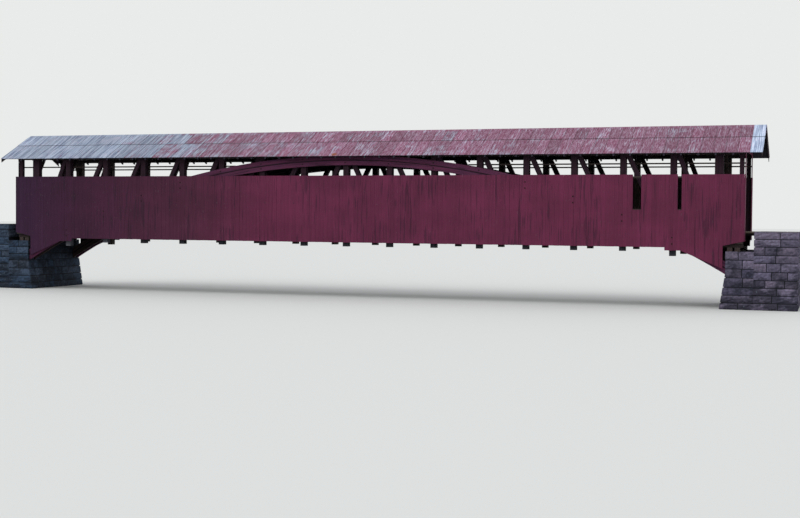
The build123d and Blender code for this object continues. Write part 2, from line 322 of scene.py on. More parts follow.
@dataclass(frozen=True)
class PaintedBoards(Finish):
    """Red oil paint, brushed on rough-sawn softwood boards long ago.

    The eye sees a dull, chalky red whose tone changes from board to board, with dark upright
    streaks where rain has run and small scars that show the grey wood.
    """

    name: str = "red_oil_paint_brushed_on_sawn_pine"
    roughness: float = 0.8
    # The paint from the left end to the right one, with painted shade: darker and bluer towards the left
    # end, which stands in shade.
    paint: tuple[tuple[float, str], ...] = (
        (0.0, "#331e3d"), (0.14, "#47203a"), (0.3, "#58283f"), (0.4, "#712d4b"), (1.0, "#732e4b"),
    )
    grey_wood: str = "#6f6166"
    run_stain: str = "#2b1a2a"
    length: Span = Span(-13.0, 13.0)
    streak_mm: tuple[float, float, float] = (16, 16, 1300)
    grain_mm: tuple[float, float, float] = (5, 5, 160)
    grain_depth_mm: float = 1.2
    scar_mm: tuple[float, float, float] = (14, 14, 120)
    # Real runs are half as wide. These are drawn wider so that they show from 40 m away.
    run_mm: tuple[float, float, float] = (46, 46, 900)
    run_group_mm: tuple[float, float, float] = (700, 700, 1500)
    run_grouping: float = 0.7
    cloud_mm: tuple[float, float, float] = (1500, 900, 900)
    board_light: Span = Span(low=0.88, high=1.1)
    streak_light: Span = Span(0.3, 0.62, 0.8, 1.06)
    cloud_light: Span = Span(0.35, 0.65, 0.88, 1.12)
    run_share: Span = Span(0.95, 1.03, high=0.5)
    scar_share: Span = Span(0.66, 0.74)

    def dress(self, tree: Tree, shader: Node) -> None:
        """Adds paint with painted shade towards the left end, tone by board, streaks, runs of dirt, scars
        and grain.

        Args:
            tree: node tree of the material.
            shader: the material's shader.
        """
        coords = add(tree, "TexCoord").outputs["Object"]
        split = add(tree, "SeparateXYZ", {0: coords})
        along = add(tree, "MapRange", {0: split.outputs["X"]} | self.length.inputs)
        # The paint ramp darkens and blues the left end with painted shade.
        colour = add(tree, "ValToRGB", {0: along}, self.paint)
        tone = add(tree, "Attribute", attribute_name="tone").outputs["Fac"]
        streaks = self.pattern(tree, self.streak_mm, coords)
        clouds = self.pattern(tree, self.cloud_mm, coords, offset=3.0)
        lights = (tone, self.board_light), (streaks, self.streak_light), (clouds, self.cloud_light)
        colour = self.shaded(tree, colour, *lights)
        runs = self.pattern(tree, self.run_mm, coords, detail=1.5, offset=15.0)
        groups = self.pattern(tree, self.run_group_mm, coords, detail=2.0, offset=21.0)
        wet = self.total(tree, (runs, 1.0), (groups, self.run_grouping))
        colour = self.stained(tree, colour, self.run_stain, wet, self.run_share)
        scars = self.pattern(tree, self.scar_mm, coords, offset=7.0)
        colour = self.stained(tree, colour, self.grey_wood, scars, self.scar_share)
        grain = self.pattern(tree, self.grain_mm, coords)
        self.cover(tree, shader, colour, grain, self.grain_depth_mm)


@dataclass(frozen=True)
class SawnTimber(Finish):
    """Heavy sawn timber, weathered or painted.

    The eye sees long fibres that darken in places and fine drying cracks along the grain.
    """

    name: str = "weathered_sawn_oak"
    roughness: float = 0.85
    grain: Grain = Grain.ALONG
    pale: str = "#6b5a52"
    dark: str = "#2f2625"
    # Oak's own fibres are too fine to show, so they are drawn as bundles this wide.
    fibre_mm: float = 9.0
    fibre_length_mm: float = 700.0
    crack_mm: float = 22.0
    crack_stretch: float = 1.6
    patch_mm: tuple[float, float, float] = (1400, 260, 260)
    relief_mm: float = 1.0
    seam_mm: float = 8.0
    brace_turn: float = -0.447
    bare_below: float | None = None
    bare_pale: str = "#7c7c83"
    bare_dark: str = "#47464d"
    patch_light: Span = Span(0.3, 0.7, 0.7, 1.15)
    crack_edge: Span = Span(0.36, 0.4)
    crack_light: Span = Span(low=0.45)
    # The grey foot is palest at the left end and darker towards the right.
    paler_leftward: Span = Span(-8.2, -6.8, 1.0, 0.35)

    def place(self, tree: Tree) -> Source:
        """Makes coordinates whose first axis runs with the grain.

        Args:
            tree: node tree of the material.

        Returns:
            The coordinates in metres.
        """
        coords = add(tree, "TexCoord").outputs["Object"]
        split = add(tree, "SeparateXYZ", {0: coords})
        x, y, z = split.outputs["X"], split.outputs["Y"], split.outputs["Z"]
        if self.grain is Grain.ALONG:
            return coords
        if self.grain is Grain.ACROSS:
            return add(tree, "CombineXYZ", {0: y, 1: x, 2: z}).outputs[0]
        if self.grain is Grain.UPRIGHT:
            return add(tree, "CombineXYZ", {0: z, 1: y, 2: x}).outputs[0]
        if self.grain is Grain.BRACE:
            outward = add(tree, "Math", {0: x}, operation="ABSOLUTE")
            folded = add(tree, "CombineXYZ", {0: z, 1: y, 2: outward})
            turn = {"Vector": folded, "Angle": self.brace_turn}
            return add(tree, "VectorRotate", turn, rotation_type="Y_AXIS").outputs[0]
        up = add(tree, "Math", {0: z, 1: ARCH_CENTRE}, operation="SUBTRACT")
        angle = add(tree, "Math", {0: x, 1: up}, operation="ARCTAN2")
        arc = add(tree, "Math", {0: angle, 1: ARCH_RADIUS}, operation="MULTIPLY")
        flat = add(tree, "CombineXYZ", {0: x, 1: up, 2: 0.0})
        radius = add(tree, "VectorMath", {0: flat}, operation="LENGTH").outputs["Value"]
        return add(tree, "CombineXYZ", {0: arc, 1: y, 2: radius}).outputs[0]

    def dress(self, tree: Tree, shader: Node) -> None:
        """Adds fibres, patches of weather, drying cracks and, on an arch, painted shadow in the leaves'
        joint.

        Args:
            tree: node tree of the material.
            shader: the material's shader.
        """
        place = self.place(tree)
        fibre = (self.fibre_length_mm, self.fibre_mm, self.fibre_mm)
        fibres = self.pattern(tree, fibre, place, detail=4.0)
        colour = add(tree, "ValToRGB", {0: fibres}, [(0.3, self.dark), (0.7, self.pale)])
        if self.bare_below is not None:
            colour = self.bare_foot(tree, colour, fibres)
        patches = self.pattern(tree, self.patch_mm, place, offset=5.0)
        crack_size = (self.fibre_length_mm * self.crack_stretch, self.crack_mm, self.crack_mm)
        cracks = self.pattern(tree, crack_size, place, detail=1.0, offset=9.0)
        whole = add(tree, "MapRange", {0: cracks} | self.crack_edge.inputs)
        colour = self.shaded(tree, colour, (patches, self.patch_light), (whole, self.crack_light))
        # Painted shadow darkens the joint between an arch's leaves.
        if self.grain is Grain.ARC:
            colour = self.seam(tree, colour, place)
        relief = add(tree, "Math", {0: fibres, 1: whole}, operation="ADD")
        self.cover(tree, shader, colour, relief, self.relief_mm)

    def bare_foot(self, tree: Tree, wood: Node, fibres: Source) -> Node:
        """Turns the wood grey below the height at which the paint ends, palest at the left end.

        Args:
            tree: node tree of the material.
            wood: node that gives the colour of the painted wood.
            fibres: pattern of its fibres.

        Returns:
            Node that gives the colour of both.
        """
        grey = add(tree, "ValToRGB", {0: fibres}, [(0.3, self.bare_dark), (0.7, self.bare_pale)])
        split = add(tree, "SeparateXYZ", {0: add(tree, "TexCoord").outputs["Object"]}).outputs
        grey = self.shaded(tree, grey, (split["X"], self.paler_leftward))
        low = add(tree, "Math", {0: split["Z"], 1: self.bare_below}, operation="LESS_THAN")
        return add(tree, "MixRGB", {"Fac": low, "Color1": wood, "Color2": grey})

    def seam(self, tree: Tree, wood: Node, place: Source) -> Node:
        """Darkens the joint between the two leaves of an arch with painted shadow, as of an open gap.

        Args:
            tree: node tree of the material.
            wood: node that gives the colour of the wood.
            place: coordinates whose third axis is the distance from the arch's centre.

        Returns:
            Node that gives the colour with the painted shadow in its joint.
        """
        radius = add(tree, "SeparateXYZ", {0: place}).outputs["Z"]
        off = add(tree, "Math", {0: radius, 1: ARCH_RADIUS}, operation="SUBTRACT")
        off = add(tree, "Math", {0: off}, operation="ABSOLUTE")
        return self.shaded(tree, wood, (off, Span(self.seam_mm * MM, 3 * self.seam_mm * MM, 0.12, 1.0)))


@dataclass(frozen=True)
class PlankWear(Finish):
    """Sawn oak deck planks, planed by traffic.

    The eye sees grey planks that differ in tone, polished paler in two wheel tracks and dark
    with dirt between and beside them.
    """

    name: str = "traffic_worn_oak_planks"
    roughness: float = 0.75
    pale: str = "#8d7f72"
    dark: str = "#4a403a"
    fibre_mm: tuple[float, float, float] = (8, 500, 8)
    relief_mm: float = 1.0
    track: float = 0.42
    plank_light: Span = Span(low=0.7, high=1.15)
    track_light: Span = Span(0.05, 0.3, 1.2, 0.85)

    def dress(self, tree: Tree, shader: Node) -> None:
        """Adds grain across the bridge, tone by plank and the wheel tracks.

        Args:
            tree: node tree of the material.
            shader: the material's shader.
        """
        coords = add(tree, "TexCoord").outputs["Object"]
        fibres = self.pattern(tree, self.fibre_mm, coords, detail=4.0)
        colour = add(tree, "ValToRGB", {0: fibres}, [(0.3, self.dark), (0.7, self.pale)])
        tone = add(tree, "Attribute", attribute_name="tone").outputs["Fac"]
        split = add(tree, "SeparateXYZ", {0: coords})
        across = add(tree, "Math", {0: split.outputs["Y"]}, operation="ABSOLUTE")
        off_track = add(tree, "Math", {0: across, 1: self.track}, operation="SUBTRACT")
        off_track = add(tree, "Math", {0: off_track}, operation="ABSOLUTE")
        colour = self.shaded(tree, colour, (tone, self.plank_light), (off_track, self.track_light))
        self.cover(tree, shader, colour, fibres, self.relief_mm)


@dataclass(frozen=True)
class PaintedTinSheet(Finish):
    """Galvanised steel sheet, crimped, with red roof paint that is washing off.

    The eye sees pale grey-blue metal at one end and chalky pink-red paint over the rest, worn
    through in streaks down the slope, with rust at a few edges. Each sheet differs, and a sheet
    whose cover is below zero is new and bright.
    """

    name: str = "galvanised_sheet_with_worn_red_paint"
    roughness: float = 0.55
    bare: str = "#abb8cb"
    bare_dark: str = "#5e6887"
    paint: str = "#783b58"
    paint_pale: str = "#a17890"
    chalk: str = "#cbc2d5"
    rust: str = "#8a4a30"
    streak_mm: tuple[float, float, float] = (30, 900, 900)
    # Real flecks are about 8 mm wide. These are drawn coarser so that they show from 40 m away.
    fleck_mm: tuple[float, float, float] = (24, 190, 190)
    dash_mm: tuple[float, float, float] = (26, 300, 300)
    cloud_mm: tuple[float, float, float] = (700, 500, 500)
    spot_mm: tuple[float, float, float] = (120, 260, 260)
    rust_place: tuple[float, float, float] = (-0.3, -1.52, 4.29)
    rust_raggedness: float = -0.12
    dash_clouding: float = 0.5
    relief_mm: float = 1.0
    dull_shine: float = 0.3
    # How far streaks, flecks and clouds count in where the paint has worn through.
    wear_shares: tuple[float, float, float] = (0.45, 0.35, 0.2)
    paint_limit: Span = Span(low=0.34, high=0.66)
    paint_edge: Span = Span(-0.05, 0.05)
    streak_chalk: Span = Span(0.56, 0.68, high=0.55)
    dash_chalk: Span = Span(0.83, 0.95, high=0.62)
    sheet_light: Span = Span(low=0.72, high=1.2)
    new_light: Span = Span(-1.0, 0.0, 1.3, 1.0)
    rust_share: Span = Span(0.68, 0.74, high=0.85)
    rust_spot: Span = Span(0.0, 0.05, 1.0, 0.0)
    # Painted shade under the laps and beside the crimps, from none to full.
    painted_shade_light: Span = Span(low=1.0, high=0.35)

    def dress(self, tree: Tree, shader: Node) -> None:
        """Adds bare metal, paint worn by streaks, pale flecks, tone by sheet, rust and painted shade at laps
        and crimps.

        Args:
            tree: node tree of the material.
            shader: the material's shader.
        """
        coords = add(tree, "TexCoord").outputs["Object"]
        tone, kept, soot = (
            add(tree, "Attribute", attribute_name=trait).outputs["Fac"]
            for trait in ("tone", "cover", "soot")
        )
        streaks = self.pattern(tree, self.streak_mm, coords, detail=6.0)
        flecks = self.pattern(tree, self.fleck_mm, coords, detail=5.0, offset=2.0)
        clouds = self.pattern(tree, self.cloud_mm, coords, detail=2.0, offset=4.0)
        metal = add(tree, "ValToRGB", {0: streaks}, [(0.36, self.bare_dark), (0.58, self.bare)])
        paint = add(tree, "ValToRGB", {0: flecks}, [(0.42, self.paint), (0.62, self.paint_pale)])
        worn = self.total(tree, *zip((streaks, flecks, clouds), self.wear_shares))
        limit = add(tree, "MapRange", {0: kept} | self.paint_limit.inputs)
        over = add(tree, "Math", {0: limit, 1: worn}, operation="SUBTRACT")
        painted = add(tree, "MapRange", {0: over} | self.paint_edge.inputs)
        colour = add(tree, "MixRGB", {"Fac": painted, "Color1": metal, "Color2": paint})
        dashes = self.pattern(tree, self.dash_mm, coords, detail=3.0, offset=17.0)
        dashes = self.total(tree, (dashes, 1.0), (clouds, self.dash_clouding))
        washed = self.strongest(tree, (streaks, self.streak_chalk), (dashes, self.dash_chalk))
        colour = add(tree, "MixRGB", {"Fac": washed, "Color1": colour, "Color2": linear(self.chalk)})
        colour = self.shaded(tree, colour, (tone, self.sheet_light), (kept, self.new_light))
        spots = self.pattern(tree, self.spot_mm, coords, detail=6.0, offset=11.0)
        ends = {0: coords, 1: self.rust_place}
        near = add(tree, "VectorMath", ends, operation="DISTANCE").outputs["Value"]
        near = self.total(tree, (near, 1.0), (spots, self.rust_raggedness))
        rusty = self.strongest(tree, (spots, self.rust_share), (near, self.rust_spot))
        colour = add(tree, "MixRGB", {"Fac": rusty, "Color1": colour, "Color2": linear(self.rust)})
        # Painted shade: darker under the upper tier's lap and beside the side crimps.
        colour = self.shaded(tree, colour, (soot, self.painted_shade_light))
        bare_part = add(tree, "Math", {0: 1.0, 1: painted}, operation="SUBTRACT")
        metallic = add(tree, "Math", {0: bare_part, 1: self.dull_shine}, operation="MULTIPLY")
        tree.links.new(metallic.outputs[0], shader.inputs["Metallic"])
        self.cover(tree, shader, colour, flecks, self.relief_mm)

    @staticmethod
    def strongest(tree: Tree, first: tuple[Source, Span], second: tuple[Source, Span]) -> Node:
        """Keeps the stronger of two patterns at each place.

        Args:
            tree: node tree of the material.
            first: a pattern and the strength that it becomes.
            second: another pattern and the strength that it becomes.

        Returns:
            Node that gives the stronger one.
        """
        masks = [add(tree, "MapRange", {0: pattern} | span.inputs) for pattern, span in (first, second)]
        return add(tree, "Math", dict(enumerate(masks)), operation="MAXIMUM")


@dataclass(frozen=True)
class DressedStone(Finish):
    """Quarried sandstone, split and hammer-dressed into blocks.

    The eye sees blue-grey to brown blocks with rough faces, dark wet stains near the foot and
    a little pale crust.
    """

    name: str = "hammer_dressed_sandstone"
    roughness: float = 0.9
    blue: str = "#34455a"
    brown: str = "#566070"
    stain: str = "#1c212a"
    crust: str = "#78848f"
    # Real pits are a few millimetres wide. These are drawn coarser, as the hammer's larger marks.
    pit_mm: float = 14.0
    lump_mm: float = 70.0
    damp_mm: tuple[float, float, float] = (400, 400, 260)
    crust_mm: float = 60.0
    relief_mm: float = 4.0
    lump_light: Span = Span(0.3, 0.7, 0.58, 1.3)
    block_light: Span = Span(low=0.62, high=1.3)
    damp_rise: Span = Span(0.0, 1.6, 0.16, -0.05)
    damp_share: Span = Span(0.5, 0.66, high=0.75)
    crust_share: Span = Span(0.64, 0.7, high=0.6)
    deck_shade_light: Span = Span(low=1.0, high=0.35)

    def dress(self, tree: Tree, shader: Node) -> None:
        """Adds colour and brightness by block, lumps, stains, crust, painted shade under the deck and pits.

        Args:
            tree: node tree of the material.
            shader: the material's shader.
        """
        coords = add(tree, "TexCoord").outputs["Object"]
        tone, bright, soot = (
            add(tree, "Attribute", attribute_name=trait).outputs["Fac"]
            for trait in ("tone", "cover", "soot")
        )
        colour = add(tree, "ValToRGB", {0: tone}, [(0.1, self.blue), (0.9, self.brown)])
        lumps = self.pattern(tree, (self.lump_mm,) * 3, coords, detail=5.0)
        colour = self.shaded(tree, colour, (lumps, self.lump_light), (bright, self.block_light))
        damp = self.pattern(tree, self.damp_mm, coords, offset=4.0)
        split = add(tree, "SeparateXYZ", {0: coords})
        height = add(tree, "MapRange", {0: split.outputs["Z"]} | self.damp_rise.inputs)
        wet = add(tree, "Math", {0: damp, 1: height}, operation="ADD")
        colour = self.stained(tree, colour, self.stain, wet, self.damp_share)
        spots = self.pattern(tree, (self.crust_mm,) * 3, coords, detail=6.0, offset=8.0)
        colour = self.stained(tree, colour, self.crust, spots, self.crust_share)
        # Painted shade: the face under the span darkens towards the deck.
        colour = self.shaded(tree, colour, (soot, self.deck_shade_light))
        pits = self.pattern(tree, (self.pit_mm,) * 3, coords, detail=5.0, offset=1.0)
        relief = add(tree, "Math", {0: pits, 1: lumps}, operation="ADD")
        self.cover(tree, shader, colour, relief, self.relief_mm)


@dataclass(frozen=True)
class Granular(Finish):
    """Packed earth or mortar with grit in it: the eye sees a dull, uneven, matt surface."""

    name: str = "packed_gravel"
    roughness: float = 0.95
    pale: str = "#7b756c"
    dark: str = "#45413c"
    grit_mm: float = 18.0
    patch_mm: float = 300.0
    relief_mm: float = 3.0

    def dress(self, tree: Tree, shader: Node) -> None:
        """Adds grit over broad patches.

        Args:
            tree: node tree of the material.
            shader: the material's shader.
        """
        grit = self.pattern(tree, (self.grit_mm,) * 3, detail=5.0)
        patches = self.pattern(tree, (self.patch_mm,) * 3, detail=2.0, offset=6.0)
        both = self.total(tree, (grit, 0.6), (patches, 0.4))
        colour = add(tree, "ValToRGB", {0: both}, [(0.35, self.dark), (0.65, self.pale)])
        self.cover(tree, shader, colour, grit, self.relief_mm)


@dataclass(frozen=True)
class RustedIron(Finish):
    """Wrought iron, forged and left to rust: dark brown, with a dull sheen on its edges."""

    name: str = "forged_iron_rusted"
    roughness: float = 0.65
    rust: str = "#3a241e"
    iron: str = "#1a1719"
    patch_mm: float = 6.0
    relief_mm: float = 0.3
    shine: Span = Span(0.4, 0.6, 0.9, 0.1)

    def dress(self, tree: Tree, shader: Node) -> None:
        """Adds rust in patches over the iron.

        Args:
            tree: node tree of the material.
            shader: the material's shader.
        """
        patches = self.pattern(tree, (self.patch_mm,) * 3, detail=4.0)
        colour = add(tree, "ValToRGB", {0: patches}, [(0.4, self.iron), (0.6, self.rust)])
        metallic = add(tree, "MapRange", {0: patches} | self.shine.inputs)
        tree.links.new(metallic.outputs[0], shader.inputs["Metallic"])
        self.cover(tree, shader, colour, patches, self.relief_mm)


# Pine, sawn and left bare behind the paint: dull grey-brown fibres, dark between the boards.
BOARD_BACKS = SawnTimber("bare_pine_board_backs", grain=Grain.UPRIGHT, pale="#54474a", dark="#29222a")


# Meshes.


def give_finish(node: str, look: Finish) -> None:
    """Puts a finish on a solid that keeps its shape.

    Args:
        node: name of the solid.
        look: its finish.
    """
    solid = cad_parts[node]
    solid.data.materials.clear()
    solid.data.materials.append(look.material())
    LOG.info("%s: %s", node, look.name)


def give_gauge(piece: bpy.types.Object) -> None:
    """Makes a skin as thick as roofing sheet, about a millimetre."""
    skin = piece.modifiers.new("gauge", "SOLIDIFY")
    skin.thickness = MM
    skin.offset = 0.0


def grid_faces(columns: int, rows: int) -> list[tuple[int, ...]]:
    """Faces of a grid of points that are listed row by row.

    Args:
        columns: number of faces in a row.
        rows: number of rows of faces.

    Returns:
        The corners of each face.
    """
    step = columns + 1
    starts = [row * step + column for row in range(rows) for column in range(columns)]
    return [(a, a + 1, a + step + 1, a + step) for a in starts]


@dataclass
class Draft:
    """Gathers the loose parts of one piece and turns them into a mesh.

    Attributes:
        name: name of the piece.
        finishes: its finishes; each part names one by its place in this list.
        points: corners of all its parts.
        faces: faces of all its parts.
        slots: place of each face's finish.
        traits: tone, cover and painted shade of each corner.
    """

    name: str
    finishes: Sequence[Finish]
    points: list[Vector] = field(default_factory=list)
    faces: list[tuple[int, ...]] = field(default_factory=list)
    slots: list[int] = field(default_factory=list)
    traits: dict[str, list[float]] = field(default_factory=lambda: {"tone": [], "cover": [], "soot": []})

    def part(
        self,
        points: Sequence[Vector],
        faces: Iterable[Sequence[int]],
        tone: float = 0.5,
        cover: float = 0.0,
        finish: int = 0,
        soot: Sequence[float] | None = None,
    ) -> None:
        """Adds one loose part.

        Args:
            points: its corners.
            faces: its faces, as places in points.
            tone: how light it is, from 0 to 1.
            cover: how much paint is left on it, from 0 to 1, or a stone's brightness.
            finish: place of its finish in the piece's list.
            soot: how much painted shade each corner gets, from 0 to 1; none where left out.
        """
        start = len(self.points)
        self.points.extend(points)
        self.traits["tone"].extend([tone] * len(points))
        self.traits["cover"].extend([cover] * len(points))
        self.traits["soot"].extend(soot or [0.0] * len(points))
        for face in faces:
            self.faces.append(tuple(start + corner for corner in face))
            self.slots.append(finish)

    def prism(
        self, outline: Sequence[Vector], reach: Vector, back: int | None = None, **traits: float
    ) -> None:
        """Adds a prism.

        Args:
            outline: corners of its one end, in order.
            reach: from that end to the other.
            back: finish of its first end, where that differs from the rest.
            traits: tone, cover and finish, as in part.
        """
        count = len(outline)
        first = len(self.slots)
        points = list(outline) + [corner + reach for corner in outline]
        faces = [tuple(range(count)), tuple(range(2 * count - 1, count - 1, -1))]
        for corner in range(count):
            after = (corner + 1) % count
            faces.append((corner, corner + count, after + count, after))
        self.part(points, faces, **traits)
        if back is not None:
            self.slots[first] = back

    def block(self, low: Sequence[float], high: Sequence[float], **traits: float) -> None:
        """Adds a box.

        Args:
            low: its lowest corner.
            high: its highest corner.
            traits: tone, cover and finish, as in part.
        """
        corners = (low[0], low[1]), (high[0], low[1]), (high[0], high[1]), (low[0], high[1])
        outline = [Vector((x, y, low[2])) for x, y in corners]
        self.prism(outline, Vector((0, 0, high[2] - low[2])), **traits)

    def finish(self, slot: str, replaces: Sequence[str] = (), bevel: float = 0.0) -> bpy.types.Object:
        """Makes the mesh object and gives it to the frame.

        Args:
            slot: name of a material slot; not used.
            replaces: solids that it stands for.
            bevel: width of its rounded edges in metres.

        Returns:
            The object.
        """
        mesh = bpy.data.meshes.new(self.name)
        mesh.from_pydata(self.points, [], self.faces)
        for name, values in self.traits.items():
            layer = mesh.attributes.new(name, "FLOAT", "POINT")
            layer.data.foreach_set("value", values)
        mesh.polygons.foreach_set("material_index", self.slots)
        mesh.polygons.foreach_set("use_smooth", [False] * len(mesh.polygons))
        solid = bmesh.new()
        solid.from_mesh(mesh)
        bmesh.ops.recalc_face_normals(solid, faces=solid.faces)
        solid.to_mesh(mesh)
        solid.free()
        mesh.validate()
        for look in self.finishes:
            mesh.materials.append(look.material())
        piece = bpy.data.objects.new(self.name, mesh)
        bpy.context.scene.collection.objects.link(piece)
        if bevel:
            rounding = piece.modifiers.new("arrises", "BEVEL")
            rounding.width = bevel
            rounding.segments = 1
            rounding.limit_method = "ANGLE"
        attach(piece, "root")
        if replaces:
            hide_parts(*replaces)
        stands_for = ", ".join(replaces) or "nothing"
        LOG.info("%s: %d faces, stands for %s", self.name, len(mesh.polygons), stands_for)
        return piece


@dataclass(frozen=True)
class Plane3:
    """A flat face that boards or stones are laid on.

    Attributes:
        origin: its corner.
        across: unit vector of its first axis.
        up: unit vector of its second axis.
    """

    origin: Vector
    across: Vector
    up: Vector

    @property
    def outward(self) -> Vector:
        """Unit vector out of the face."""
        return self.across.cross(self.up)

    def at(self, u: float, v: float, out: float = 0.0) -> Vector:
        """Point at u, v in metres, and out from the face."""
        return self.origin + self.across * u + self.up * v + self.outward * out

    def oval(
        self, middle: tuple[float, float], out: float, radii: tuple[float, float], sides: int
    ) -> list[Vector]:
        """Corners of an oval on the face.

        Args:
            middle: place of its middle on the face.
            out: its distance from the face.
            radii: half its width and half its height.
            sides: number of its corners.

        Returns:
            The corners, in order.
        """
        turns = [2 * math.pi * corner / sides for corner in range(sides)]
        (u, v), (wide, high) = middle, radii
        return [self.at(u + wide * math.cos(turn), v + high * math.sin(turn), out) for turn in turns]


def side_face(side: Side, distance: float, inward: bool = False) -> Plane3:
    """Upright face along one side of the bridge.

    Args:
        side: the side.
        distance: how far the face is from the middle of the bridge.
        inward: whether it faces the roadway.

    Returns:
        The face, whose first axis runs to the right of whoever looks at it.
    """
    across = X_AXIS * (side.value if inward else -side.value)
    return Plane3(Y_AXIS * side.value * distance, across, Z_AXIS)


@dataclass(frozen=True)
class Edge:
    """A stepped edge of a board wall: points from left to right, two at one place for a step."""

    points: tuple[tuple[float, float], ...]

    def between(self, start: float, stop: float) -> list[tuple[float, float]]:
        """The part of the edge over one board.

        Args:
            start: left side of the board.
            stop: right side of the board.

        Returns:
            Its points from left to right.
        """
        kept: list[tuple[float, float]] = []
        for (u0, v0), (u1, v1) in zip(self.points, self.points[1:]):
            if u1 <= start or u0 >= stop or u1 == u0:
                continue
            slope = (v1 - v0) / (u1 - u0)
            low, high = max(u0, start), min(u1, stop)
            if not kept:
                kept.append((low, v0 + slope * (low - u0)))
            kept.append((high, v0 + slope * (high - u0)))
        return kept

    @property
    def mirrored(self) -> "Edge":
        """The edge as it is seen from the far side, where +X runs to the left."""
        return Edge(tuple((-u, v) for u, v in reversed(self.points)))

    @property
    def steps(self) -> list[float]:
        """Places where the edge steps."""
        return [b[0] for a, b in zip(self.points, self.points[1:]) if a[0] == b[0]]


@dataclass
class BoardWall:
    """A wall of upright boards between two edges.

    Attributes:
        top: its upper edge.
        bottom: its lower edge.
        narrow: narrowest board.
        wide: widest board.
        gap: smallest opening between boards.
        shrink: how much more a board that has dried may open it.
        dried: mean and spread of how far the boards have dried; one below 0 hasn't.
        thickness: thickness of a board.
        spread: how unevenly the boards lie.
        rise: how unevenly their feet are cut.
        tones: mean and spread of their tones.
        seed: seed of its random draws.
        sides: left and right side of each board, once they are laid.
    """

    top: Edge
    bottom: Edge
    narrow: float = 0.105
    wide: float = 0.15
    gap: float = 0.001
    shrink: float = 0.004
    dried: tuple[float, float] = (-0.9, 1.0)
    thickness: float = 0.0135
    spread: float = 0.0012
    rise: float = 0.004
    tones: tuple[float, float] = (0.5, 0.2)
    seed: int = 1
    sides: list[tuple[float, float]] = field(default_factory=list)

    def lay(self, draft: Draft, face: Plane3) -> None:
        """Lays the boards on a face.

        Args:
            draft: the piece that they go into.
            face: the face behind them, whose axes are the edges' own.
        """
        draw = random.Random(self.seed)
        low = min(self.top.points[0][0], self.bottom.points[0][0])
        high = max(self.top.points[-1][0], self.bottom.points[-1][0])
        marks = sorted({low, high, *self.top.steps, *self.bottom.steps})
        for start, stop in zip(marks, marks[1:]):
            widths: list[float] = []
            while sum(widths) < stop - start:
                widths.append(draw.uniform(self.narrow, self.wide))
            if len(widths) > 1 and sum(widths) - (stop - start) > self.narrow / 2:
                widths.pop()
            share = (stop - start) / sum(widths)
            place = start
            for width in widths:
                self.board(draft, face, place, place + width * share, draw)
                place += width * share

    def board(self, draft: Draft, face: Plane3, start: float, stop: float, draw: random.Random) -> None:
        """Adds one board.

        Args:
            draft: the piece that it goes into.
            face: the face behind it.
            start: place of the joint at its left.
            stop: place of the joint at its right.
            draw: random draws.
        """
        left = start + self.gap / 2
        right = stop - self.gap / 2 - self.shrink * clamped(draw.gauss(*self.dried))
        rise = draw.uniform(0.0, self.rise)
        lower = [(u, v + rise) for u, v in self.bottom.between(left, right)]
        upper = self.top.between(left, right)
        set_off = draw.uniform(0.0, self.spread)
        lean = draw.uniform(-0.5, 0.5) * self.spread
        outline = [face.at(u, v, set_off) for u, v in lower + upper[::-1]]
        reach = face.outward * (self.thickness + lean)
        draft.prism(outline, reach, back=1, tone=draw.gauss(*self.tones))
        self.sides.append((left, right))


# Sub-assemblies.


